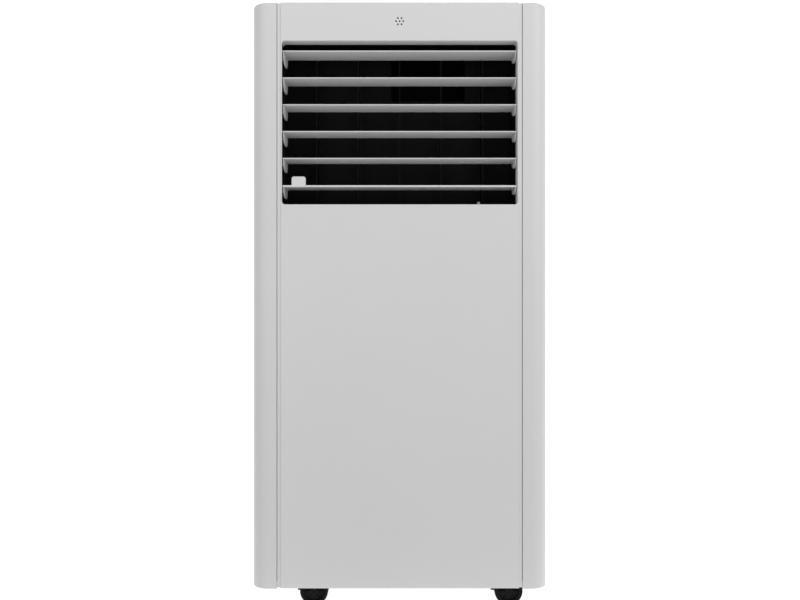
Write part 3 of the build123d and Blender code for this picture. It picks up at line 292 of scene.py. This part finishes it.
# Dusty dark grey painted into seams and recesses of the pale plastics: painted shade.
DUST_AND_SEAM_SHADE = (0.36, 0.355, 0.345)
panel_finish = moulded("panel_white", CASING, DUST_AND_SEAM_SHADE)
shell_finish = moulded("shell_white", shade(CASING, 0.985), DUST_AND_SEAM_SHADE)
rear_finish = moulded("rear_white", shade(CASING, 0.97), DUST_AND_SEAM_SHADE, grain=0.00005)
louver_finish = moulded("louver_white", shade(CASING, 1.02), DUST_AND_SEAM_SHADE, grain=0.000012, shine=0.36)
dress(["front_panel", "top_cover"], panel_finish)
dress(["left_side_shell", "right_side_shell"], shell_finish)
dress(["rear_cover", "filter_frame", "exhaust_collar"], rear_finish)
louvers = [n for n in nodes if n.startswith("louver_") and n != "louver_link_bar"]
vanes = [n for n in nodes if n.startswith("vane_") and n not in ("vane_link_bar", "vane_finger_tip")]
dress(louvers + ["vane_finger_tip"], louver_finish)
print(len(louvers), "louvers,", len(vanes), "vanes")

# %% [markdown]
# ## Black plastics and rubber
# The duct, vanes and base are plain black mouldings that drink light. The casters are satin nylon with
# scuffs. Rubber is rougher and a little brown. All of them show pale dust on faces that look up: the z
# part of the normal picks those out.

# %% Black mouldings
GREY_DUST = (0.20, 0.19, 0.18)


def dark(name, colour, shine, dust_amount, grain_scale=1800.0, grain=0.00003, mirror=0.5):
    """Dark plastic or rubber: fine grain, pale scuffs, dust on upward faces; mirror is its gloss level."""
    f = Finish(name)
    normal = f.node("ShaderNodeNewGeometry", take="Normal")
    up = f.node("ShaderNodeSeparateXYZ", {}, {0: normal}, take="Z")
    patch = f.noise(60.0, 4.0, roughness=0.7)
    lying = f.node("ShaderNodeClamp", {}, {0: up}) * f.ramp(patch, (0.40, 0.0), (0.75, 1.0))
    edges = edge_mask(f, 0.0008)
    tone = f.blend(lying * dust_amount, colour, GREY_DUST)
    tone = f.blend(edges * 0.20, tone, tuple(min(1.0, c * 4 + 0.02) for c in colour))
    rough = f.node("ShaderNodeClamp", {}, {0: shine + (patch - 0.5) * 0.2})
    soft = f.node("ShaderNodeBevel", {"samples": 4}, {"Radius": 0.0005})
    relief = f.bump(f.noise(grain_scale, 3.0), grain, 0.6, soft)
    return f.surface(Base_Color=tone, Roughness=rough, Normal=relief, Specular_IOR_Level=mirror)


duct_finish = dark("duct_black", (0.0035, 0.0035, 0.004), 0.66, 0.01, mirror=0.16)
base_finish = dark("base_black", (0.010, 0.010, 0.011), 0.60, 0.12, mirror=0.3)
caster_finish = dark("caster_black", (0.0035, 0.0035, 0.004), 0.42, 0.03, mirror=0.12)
rubber_finish = dark("rubber_black", (0.020, 0.019, 0.018), 0.72, 0.15, 700.0, 0.00008)
fan_finish = dark("fan_black", (0.030, 0.030, 0.032), 0.50, 0.22)
dress(["air_duct", "evaporator_scroll", "louver_link_bar", "vane_link_bar"] + vanes, duct_finish)
dress(["base_pan", "drip_tray"], base_finish)
casters = ["front_left", "front_right", "rear_left", "rear_right"]
dress(["caster_hood_" + c for c in casters] + ["caster_wheels_" + c for c in casters], caster_finish)
dress(["rear_bushes", "compressor_grommets", "drain_plug_upper", "drain_plug_lower"], rubber_finish)
dress(["evaporator_blower", "condenser_blower"], fan_finish)

# %% [markdown]
# ## Gloss, glass and keys
# The control bezel is black gloss plastic under a clear hard coat, with hairline scratches from wiping.
# The display sits behind smoked plastic. The keys are satin grey.

# %% Control finishes
def gloss(name, colour, shine, coat):
    """Hard gloss skin with fine wiping scratches that run mostly across."""
    f = Finish(name)
    stretched = f.node("ShaderNodeMapping", {}, {"Vector": f.place(), "Scale": (40.0, 2600.0, 400.0)})
    scratch = f.ramp(f.noise(1.0, 2.0, stretched), (0.66, 0.0), (0.72, 1.0))
    smear = f.noise(26.0, 3.0)
    rough = f.node("ShaderNodeClamp", {}, {0: shine + scratch * 0.12 + (smear - 0.5) * 0.08})
    tone = f.blend(scratch * 0.10, colour, (0.3, 0.3, 0.3))
    return f.surface(Base_Color=tone, Roughness=rough, Coat_Weight=coat, Coat_Roughness=0.05)


bezel_finish = gloss("bezel_gloss", (0.012, 0.012, 0.014), 0.14, 0.8)
window_finish = gloss("window_smoke", (0.004, 0.004, 0.006), 0.06, 1.0)
key_finish = moulded("key_satin", (0.50, 0.50, 0.51), DUST_AND_SEAM_SHADE, grain=0.00001, shine=0.32)
dress(["control_bezel"], bezel_finish)
dress(["display_window"], window_finish)
dress(["power_key", "mode_key", "fan_key", "down_key", "up_key"], key_finish)

# %% [markdown]
# ## Metals and boards
# Inside are bare aluminium, drawn copper, zinc-plated screws, painted cans and green boards. They are
# seen only through the grilles, but each gets its own colour, brushing direction and tarnish.

# %% Metal finishes
def metal(name, colour, shine, tarnish, along=(1.0, 1.0, 1.0), amount=0.4):
    """Bare metal: streaks stretched along one direction, tarnish in slow patches."""
    f = Finish(name)
    streaked = f.node("ShaderNodeMapping", {}, {"Vector": f.place(), "Scale": along})
    streak = f.noise(500.0, 3.0, streaked)
    patch = f.ramp(f.noise(30.0, 4.0), (0.35, 0.0), (0.8, 1.0))
    tone = f.blend(patch * amount, colour, tarnish)
    rough = f.node("ShaderNodeClamp", {}, {0: shine + (streak - 0.5) * 0.25 + patch * 0.12})
    relief = f.bump(streak, 0.00002, 0.5)
    return f.surface(Base_Color=tone, Roughness=rough, Metallic=1.0, Normal=relief)


fin_finish = metal("fin_aluminium", (0.78, 0.79, 0.80), 0.34, (0.55, 0.56, 0.57), (1.0, 1.0, 0.05))
copper_finish = metal("drawn_copper", (0.72, 0.38, 0.22), 0.28, (0.38, 0.20, 0.13), (0.3, 1.0, 0.3), 0.7)
screw_finish = metal("zinc_screw", (0.60, 0.61, 0.62), 0.30, (0.40, 0.40, 0.38))
can_finish = metal("drawn_can", (0.70, 0.70, 0.71), 0.25, (0.5, 0.5, 0.5), (1.0, 1.0, 0.05))
sheet_finish = metal("galvanised_sheet", (0.58, 0.60, 0.61), 0.38, (0.42, 0.44, 0.46), (1.0, 0.2, 1.0), 0.9)
dress(["cover_screws"], screw_finish)
dress(["refrigerant_pipes"], copper_finish)
dress(["evaporator_coil", "condenser_coil"], fin_finish)
dress(["run_capacitor"], can_finish)
dress(["control_box"], sheet_finish)


def painted(name, colour, shine):
    """Sprayed paint with orange peel and chipped edges."""
    f = Finish(name)
    peel = f.noise(320.0, 2.0)
    chip = edge_mask(f, 0.001) * f.ramp(f.noise(140.0, 3.0), (0.5, 0.0), (0.62, 1.0))
    tone = f.blend(chip, colour, (0.35, 0.34, 0.33))
    rough = f.node("ShaderNodeClamp", {}, {0: shine + (peel - 0.5) * 0.1 + chip * 0.2})
    return f.surface(Base_Color=tone, Roughness=rough, Metallic=chip * 0.8, Normal=f.bump(peel, 0.00006, 0.5))


dress(["compressor", "accumulator"], painted("compressor_black", (0.022, 0.022, 0.024), 0.32))
dress(["evaporator_motor", "condenser_motor"], painted("motor_grey", (0.24, 0.25, 0.26), 0.42))
dress(["condenser_scroll"], moulded("scroll_white", (0.74, 0.74, 0.71), DUST_AND_SEAM_SHADE))


def board(name):
    """Coated circuit board: green lacquer with a regular lattice of lighter tracks."""
    f = Finish(name)
    black, white = (0, 0, 0, 1), (1, 1, 1, 1)
    lattice = f.node("ShaderNodeTexBrick", {"offset": 0.5},
                     {"Vector": f.place(), "Scale": 160.0, "Mortar Size": 0.03,
                      "Color1": black, "Color2": black, "Mortar": white})
    tone = f.blend(lattice, (0.010, 0.075, 0.030), (0.030, 0.16, 0.070))
    return f.surface(Base_Color=tone, Roughness=0.30 + lattice * 0.1, Normal=f.bump(lattice, 0.00004, 0.6))


dress(["display_board", "control_board"], board("board_green"))
print("finishes:", len(bpy.data.materials))

# %% [markdown]
# ## Making a surface from arrays
# A surface is a grid of points: rows along one parameter, columns along the other. `grid_quads` joins
# neighbours into quads and can close either direction on itself. `add_piece` puts points and faces into a
# mesh, turns them outwards by the sign of the enclosed volume, and lets the piece ride on a body.

# %% Mesh helpers
def grid_quads(rows, columns, close_rows=False, close_columns=False):
    """Quads (i, j), (i, j+1), (i+1, j+1), (i+1, j) of a grid, wrapping where a direction is closed."""
    i = np.arange(rows if close_rows else rows - 1)
    j = np.arange(columns if close_columns else columns - 1)
    i, j = np.meshgrid(i, j, indexing="ij")
    right = (j + 1) % columns
    down = (i + 1) % rows
    quads = np.stack([i * columns + j, i * columns + right, down * columns + right, down * columns + j], -1)
    return quads.reshape(-1, 4)


def tube_quads(rings, count):
    """Quads of a tube of rings of points; fans of quads from each ring's first point close both ends."""
    k = np.arange(1, count - 2, 2)
    fan = np.stack([0 * k, k, k + 1, k + 2], -1)
    sides = grid_quads(rings, count, close_columns=True)
    return np.concatenate([sides, fan[:, ::-1], fan + (rings - 1) * count])


def repeated(points, faces, shifts):
    """Copies one shape to many places: every shift is added to all points, and face numbers move along."""
    count = len(points)
    all_points = (points[None] + shifts[:, None]).reshape(-1, 3)
    steps = np.arange(len(shifts)) * count
    all_faces = (faces[None] + steps[:, None, None]).reshape(-1, faces.shape[1])
    return all_points, all_faces


def enclosed_volume(points, faces):
    """Sum over faces of the signed volume of the cone from the origin: negative means inside out."""
    a, b, c = points[faces[:, 0]], points[faces[:, 1]], points[faces[:, 2]]
    total = np.einsum("ij,ij->i", a, np.cross(b, c)).sum()
    if faces.shape[1] == 4:
        d = points[faces[:, 3]]
        total += np.einsum("ij,ij->i", a, np.cross(c, d)).sum()
    return total / 6


def add_piece(name, parts, body, material, smooth=True):
    """A mesh object made of (points, faces) parts, riding on a body, with a finish."""
    points, polygons, base = [], [], 0
    for part_points, part_faces in parts:
        if enclosed_volume(part_points, part_faces) < 0:
            part_faces = part_faces[:, ::-1]
        points.append(part_points)
        polygons += (part_faces + base).tolist()
        base += len(part_points)
    mesh = bpy.data.meshes.new(name)
    mesh.from_pydata(np.concatenate(points).tolist(), [], polygons)
    mesh.polygons.foreach_set("use_smooth", np.full(len(polygons), smooth))
    mesh.materials.append(material)
    piece = bpy.data.objects.new(name, mesh)
    bpy.context.collection.objects.link(piece)
    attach(piece, body)
    print(name, "has", len(polygons), "faces")
    return piece


def lathe(profile, centre, steps):
    """A closed profile of (radius, height) pairs turned about a line along Y through the centre."""
    turn = np.arange(steps) / steps * tau
    radius, height = profile[:, 0][:, None], profile[:, 1][:, None]
    x = centre[0] + radius * np.cos(turn)
    z = centre[2] + radius * np.sin(turn)
    y = centre[1] + height + np.zeros_like(turn)
    return np.stack([x, y, z], -1).reshape(-1, 3), grid_quads(len(profile), steps, True, True)


# %% [markdown]
# ## The woven screen of the filter
# Nylon threads go over and under each other in turn. Where warp i crosses weft j, the warp is on the near
# side if i + j is even and on the far side if it is odd, and the weft does the opposite. Joining these
# crossings gives every thread its wave.

# %% Woven screen
WEAVE_PITCH = 3.0 * MM
THREAD_R = 0.2 * MM


def woven(low, high):
    """Both sets of threads of a screen in a box that is thin along Y, as (points, faces) parts."""
    x = np.arange(low[0] + WEAVE_PITCH / 2, high[0], WEAVE_PITCH)
    z = np.arange(low[2] + WEAVE_PITCH / 2, high[2], WEAVE_PITCH)
    i, j = np.meshgrid(np.arange(len(x)), np.arange(len(z)), indexing="ij")
    side = 1 - 2 * ((i + j) % 2)
    middle_y = (low[1] + high[1]) / 2
    swing = (high[1] - low[1]) / 2 - THREAD_R
    corner = np.arange(4) / 4 * tau
    flat, deep = THREAD_R * np.cos(corner), THREAD_R * np.sin(corner)
    parts = []
    for along, across, sense in ((z, x, 1), (x, z, -1)):
        centre_y = middle_y + sense * side * swing
        grid = centre_y if sense == 1 else centre_y.T
        run = np.broadcast_to(along, grid.shape)
        shift = np.broadcast_to(across[:, None], grid.shape)
        ring_y = grid[..., None] + deep
        ring_across = shift[..., None] + flat
        ring_along = run[..., None] + 0 * flat
        order = (ring_across, ring_y, ring_along) if sense == 1 else (ring_along, ring_y, ring_across)
        thread = tube_quads(len(along), 4)
        first = np.arange(len(across)) * len(along) * 4
        threads = (thread[None] + first[:, None, None]).reshape(-1, 4)
        parts.append((np.stack(order, -1).reshape(-1, 3), threads))
    return parts


screen = add_piece("filter_screen", woven(*corners("filter_mesh")), "filter",
                   dark("nylon_thread", (0.060, 0.062, 0.068), 0.45, 0.30, 900.0))
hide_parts("filter_mesh")

# %% [markdown]
# ## Finned coils
# A coil is a stack of thin aluminium fins with copper tubes pressed through them. The tubes come out of
# the end plate in pairs, and each pair is closed by a half-ring of tube. A fin is bent in a zigzag, which
# stirs the air: its section is a strip whose middle line steps left and right as it goes back.

# %% Coils
FIN_PITCH = 1.9 * MM
FIN_HALF = 0.09 * MM
FIN_ZIGZAG = 0.30 * MM
FIN_STEPS = 9
FIN_INSET = 0.5 * MM
TUBE_R = 4.0 * MM
BEND_PITCH = 24.0 * MM
PLATE_T = 1.2 * MM


def cuboid(low, high):
    """Eight corners and six faces of a box."""
    pick = np.array([[0, 0, 0], [1, 0, 0], [1, 1, 0], [0, 1, 0], [0, 0, 1], [1, 0, 1], [1, 1, 1], [0, 1, 1]])
    points = np.where(pick == 1, np.array(high), np.array(low))
    faces = np.array([[0, 3, 2, 1], [4, 5, 6, 7], [0, 1, 5, 4], [1, 2, 6, 5], [2, 3, 7, 6], [3, 0, 4, 7]])
    return points, faces


def fin_shape(y0, y1, z0, z1):
    """One zigzag fin round x = 0: an outline of 2 n points in plan, carried from z0 to z1 and capped."""
    steps = FIN_STEPS
    y = np.linspace(y0, y1, steps)
    bend = FIN_ZIGZAG * (np.arange(steps) % 2 * 2 - 1)
    outline = np.concatenate([np.stack([bend - FIN_HALF, y], -1), np.stack([bend + FIN_HALF, y], -1)[::-1]])
    count = len(outline)
    low = np.column_stack([outline, np.full(count, z0)])
    high = np.column_stack([outline, np.full(count, z1)])
    near = np.arange(steps - 1)
    cap = np.stack([near, near + 1, count - 2 - near, count - 1 - near], -1)
    sides = grid_quads(2, count, close_columns=True)
    return np.concatenate([low, high]), np.concatenate([sides, cap, cap[:, ::-1] + count])


def tube_along(path, radius, steps=12):
    """A round tube whose centre follows a path in an XZ plane: each ring stands across the path."""
    ahead = np.gradient(path, axis=0)
    ahead /= np.linalg.norm(ahead, axis=1)[:, None]
    side = np.array([0.0, 1.0, 0.0])
    other = np.cross(ahead, side)
    turn = (np.arange(steps) / steps * tau)[None, :, None]
    rings = path[:, None] + radius * (np.cos(turn) * side + np.sin(turn) * other[:, None])
    return rings.reshape(-1, 3), tube_quads(len(path), steps)


def make_coil(node, name):
    """Fins, end plates and hairpin tubes in place of a plain coil node."""
    low, high = corners(node)
    right = high[0] - BEND_PITCH / 4 - TUBE_R
    left = low[0]
    x = np.arange(left + PLATE_T + FIN_PITCH, right - PLATE_T - FIN_PITCH / 2, FIN_PITCH)
    shifts = np.stack([x, 0 * x, 0 * x], -1)
    fin = fin_shape(low[1] + FIN_INSET, high[1] - FIN_INSET, low[2] + MM, high[2] - MM)
    fins = repeated(*fin, shifts)
    plates = [cuboid((left, low[1], low[2]), (left + PLATE_T, high[1], high[2])),
              cuboid((right - PLATE_T, low[1], low[2]), (right, high[1], high[2]))]
    stack = add_piece(name + "_fins", [fins] + plates, "cabinet", fin_finish, smooth=False)
    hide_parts(node)
    y = (low[1] + high[1]) / 2
    angle = np.linspace(-pi / 2, pi / 2, 13)
    hairpins = []
    for i in range(int((high[2] - low[2]) / BEND_PITCH) - 1):
        z = low[2] + BEND_PITCH * (i + 1)
        bend_x = right + BEND_PITCH / 4 * np.cos(angle)
        bend_z = z + BEND_PITCH / 4 * np.sin(angle)
        path_x = np.concatenate([[left + MM], bend_x, [left + MM]])
        path_z = np.concatenate([[bend_z[0]], bend_z, [bend_z[-1]]])
        hairpins.append(tube_along(np.stack([path_x, np.full_like(path_x, y), path_z], -1), TUBE_R))
    add_piece(name + "_tubes", hairpins, "cabinet", copper_finish)


make_coil("evaporator_coil", "evaporator")
make_coil("condenser_coil", "condenser")

# %% [markdown]
# ## Caster wheels
# Each caster has two wheels on one axle. A wheel is turned from a profile of (radius, distance from its
# inner face): a grooved tread between rounded shoulders, a dished web and a domed hub cap. Six ribs
# stiffen the web.

# %% Caster wheels
WHEEL_PROFILE = np.array([
    (0.1, 0.0), (14.4, 0.0), (15.4, 0.3), (15.9, 0.9), (16.0, 1.6), (16.0, 2.5), (15.6, 2.7), (15.6, 3.0),
    (16.0, 3.2), (16.0, 3.9), (15.6, 4.1), (15.6, 4.4), (16.0, 4.6), (16.0, 5.3), (15.6, 5.5), (15.6, 5.8),
    (16.0, 6.0), (16.0, 6.9), (15.9, 7.6), (15.4, 8.2), (14.4, 8.5), (12.0, 8.5), (11.5, 8.3), (11.2, 7.8),
    (11.0, 6.8), (5.2, 6.6), (5.0, 6.9), (4.9, 7.6), (4.4, 8.1), (3.0, 8.4), (0.1, 8.5)]) * MM
WHEEL_GAP = 4.0 * MM
AXLE_R = 2.0 * MM
BORE_R = 0.1 * MM
WHEEL_STEPS = 56
AXLE_STEPS = 20
RIB_HALF = 0.5 * MM
RIBS = 6


def caster_parts(centre):
    """Two mirrored wheels, their ribs and the axle, about the middle of the caster."""
    parts = []
    for side in (-1, 1):
        profile = WHEEL_PROFILE * (1, side) + (0, side * WHEEL_GAP)
        parts.append(lathe(profile, centre, WHEEL_STEPS))
        face = sorted((side * (WHEEL_GAP + 6.4 * MM), side * (WHEEL_GAP + 7.6 * MM)))
        points, faces = cuboid((4.8 * MM, face[0], -RIB_HALF), (11.3 * MM, face[1], RIB_HALF))
        for i in range(RIBS):
            turn = i / RIBS * tau
            x = points[:, 0] * cos(turn) - points[:, 2] * sin(turn)
            z = points[:, 0] * sin(turn) + points[:, 2] * cos(turn)
            parts.append((np.stack([x, points[:, 1], z], -1) + centre, faces))
    axle = np.array([(BORE_R, -WHEEL_GAP), (AXLE_R, -WHEEL_GAP), (AXLE_R, WHEEL_GAP), (BORE_R, WHEEL_GAP)])
    return parts + [lathe(axle, centre, AXLE_STEPS)]


for corner in casters:
    node = "caster_wheels_" + corner
    wheels = add_piece("wheels_" + corner + "_turned", caster_parts(middle(node)), "wheels_" + corner,
                       caster_finish)
    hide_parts(node)

# %% [markdown]
# ## Signs on the keys
# Every sign is drawn with bands of one width: a ring with a gap and a bar for power, crossed bars for the
# mode, three curved blades for the fan, and chevrons for down and up. A band follows a path in plan; its
# corners stand half a width to either side of the path, along the direction square to it.

# %% Key signs
SIGN_R = 3.1 * MM
SIGN_W = 0.8 * MM
SIGN_H = 0.08 * MM


def band(path, low, high):
    """A flat band along a plan path, from height low to high, with both ends closed."""
    ahead = np.gradient(path, axis=0)
    ahead /= np.linalg.norm(ahead, axis=1)[:, None]
    aside = np.stack([-ahead[:, 1], ahead[:, 0]], -1) * SIGN_W / 2
    left, right = path - aside, path + aside
    corner_list = [(left, low), (right, low), (right, high), (left, high)]
    rings = np.stack([np.column_stack([edge, np.full(len(edge), z)]) for edge, z in corner_list], 1)
    return rings.reshape(-1, 3), tube_quads(len(path), 4)


def arc(radius, start, stop, count=24, centre=(0.0, 0.0)):
    """Points on a circle between two angles in degrees."""
    angle = np.radians(np.linspace(start, stop, count))
    return np.stack([centre[0] + radius * np.cos(angle), centre[1] + radius * np.sin(angle)], -1)


def bar(x0, y0, x1, y1):
    """A straight path of two points, given in sign radii."""
    return np.array([(x0, y0), (x1, y1)]) * SIGN_R


spokes = [bar(-cos(a), -sin(a), cos(a), sin(a)) for a in (pi / 2, pi / 6, -pi / 6)]


def blade(start):
    """An arc of half the sign's radius, about a point half that radius out from the middle."""
    centre = (SIGN_R / 2 * cos(radians(start)), SIGN_R / 2 * sin(radians(start)))
    return arc(SIGN_R / 2, start, start + 150, 14, centre)


blades = [blade(start) for start in (90, 210, 330)]
signs = {"power": [arc(SIGN_R, 125, 415), bar(0, 0.15, 0, 1.15)], "mode": spokes, "fan": blades,
         "down": [bar(-0.9, 0.4, 0.1, -0.6), bar(0.9, 0.4, -0.1, -0.6)],
         "up": [bar(-0.9, -0.4, 0.1, 0.6), bar(0.9, -0.4, -0.1, 0.6)]}
ink = gloss("sign_ink", (0.035, 0.036, 0.040), 0.30, 0.0)
for key, paths in signs.items():
    body = key + "_key"
    x, y, z = middle(body)
    top = corners(body)[1][2]
    bands = [band(path + (x, y), top - SIGN_H, top + SIGN_H) for path in paths]
    add_piece(key + "_sign", bands, body, ink, smooth=False)

# %% [markdown]
# ## Studio
# The floor and the wall are one sheet with a large bend between them, so no line shows behind the unit.
# The sheet glows though it is no lamp: painted light that keeps the ground under the unit bright and
# lights the unit from below. The glow changes with depth: it is full under and behind the unit and lower
# in a band in front of it, a painted shadow, so that the unit's lower edges and louvers keep their shade.

# %% Floor and backdrop
def sweep_points(half_width, near, far, bend, height):
    """Profile in (y, z): flat floor, quarter circle of radius bend, upright wall; carried along X."""
    angle = np.linspace(0, pi / 2, 25)
    y = np.concatenate([[near], far - bend + bend * np.sin(angle), [far]])
    z = np.concatenate([[0.0], bend - bend * np.cos(angle), [height]])
    x = np.array([-half_width, half_width])
    grid = np.stack(np.broadcast_arrays(x[None], y[:, None], z[:, None]), -1)
    return grid.reshape(-1, 3), grid_quads(len(y), 2)


SWEEP = {"half_width": 9.0, "near": -9.0, "far": 3.0, "bend": 1.0, "height": 7.0}
floor_points, floor_quads = sweep_points(**SWEEP)
floor_mesh = bpy.data.meshes.new("studio_sweep")
floor_mesh.from_pydata(floor_points.tolist(), [], floor_quads[:, ::-1].tolist())
floor_mesh.polygons.foreach_set("use_smooth", np.full(len(floor_quads), True))
floor = bpy.data.objects.new("studio_sweep", floor_mesh)
bpy.context.collection.objects.link(floor)

floor_glow_finish = Finish("floor_painted_glow")
depth = floor_glow_finish.node("ShaderNodeSeparateXYZ", {}, {0: floor_glow_finish.place()}, take="Y")
GLOW_START = 0.9
GLOW_SLOPE = 1.2
GLOW_STOPS = ((0.0, 0.80), (0.55, 0.42), (0.80, 0.50), (0.90, 1.0))
FLOOR_BASE_GREY = (0.45, 0.45, 0.45)
# Painted light: the floor's emission, full under and behind the unit, dimmer in a band in front of it as a
# painted shadow.
glow = floor_glow_finish.ramp((depth + GLOW_START) * GLOW_SLOPE, *GLOW_STOPS)
floor_glow_finish.surface(Base_Color=FLOOR_BASE_GREY, Roughness=0.6, Emission_Color=glow, Emission_Strength=0.97)
floor_mesh.materials.append(floor_glow_finish.material)


def soft_box(name, place, target, size, power):
    """Rectangular lamp at a place, turned to face a target point."""
    data = bpy.data.lights.new(name, "AREA")
    data.shape = "RECTANGLE"
    data.size, data.size_y = size
    data.energy = power
    lamp = bpy.data.objects.new(name, data)
    lamp.location = place
    away = np.array(target) - np.array(place)
    flat = np.hypot(away[0], away[1])
    lamp.rotation_euler = (pi / 2 + np.arctan2(away[2], flat), 0, np.arctan2(-away[0], away[1]))
    bpy.context.collection.objects.link(lamp)


soft_box("key_box", (4.0, -3.4, 3.0), (0, 0, 0.4), (2.8, 3.6), 98.0)
soft_box("fill_box", (-1.8, -1.9, 0.9), (0, 0, 0.35), (1.2, 1.8), 4.0)
soft_box("top_box", (0.0, -1.1, 1.9), (0, 0, 0.5), (1.6, 1.0), 9.5)
AIR_LIGHT = 0.30
world = bpy.data.worlds.new("studio_air")
world.use_nodes = True
air = world.node_tree.nodes["Background"]
air.inputs["Color"].default_value = (1, 1, 1, 1)
air.inputs["Strength"].default_value = AIR_LIGHT
bpy.context.scene.world = world
print("lamps:", len(bpy.data.lights))
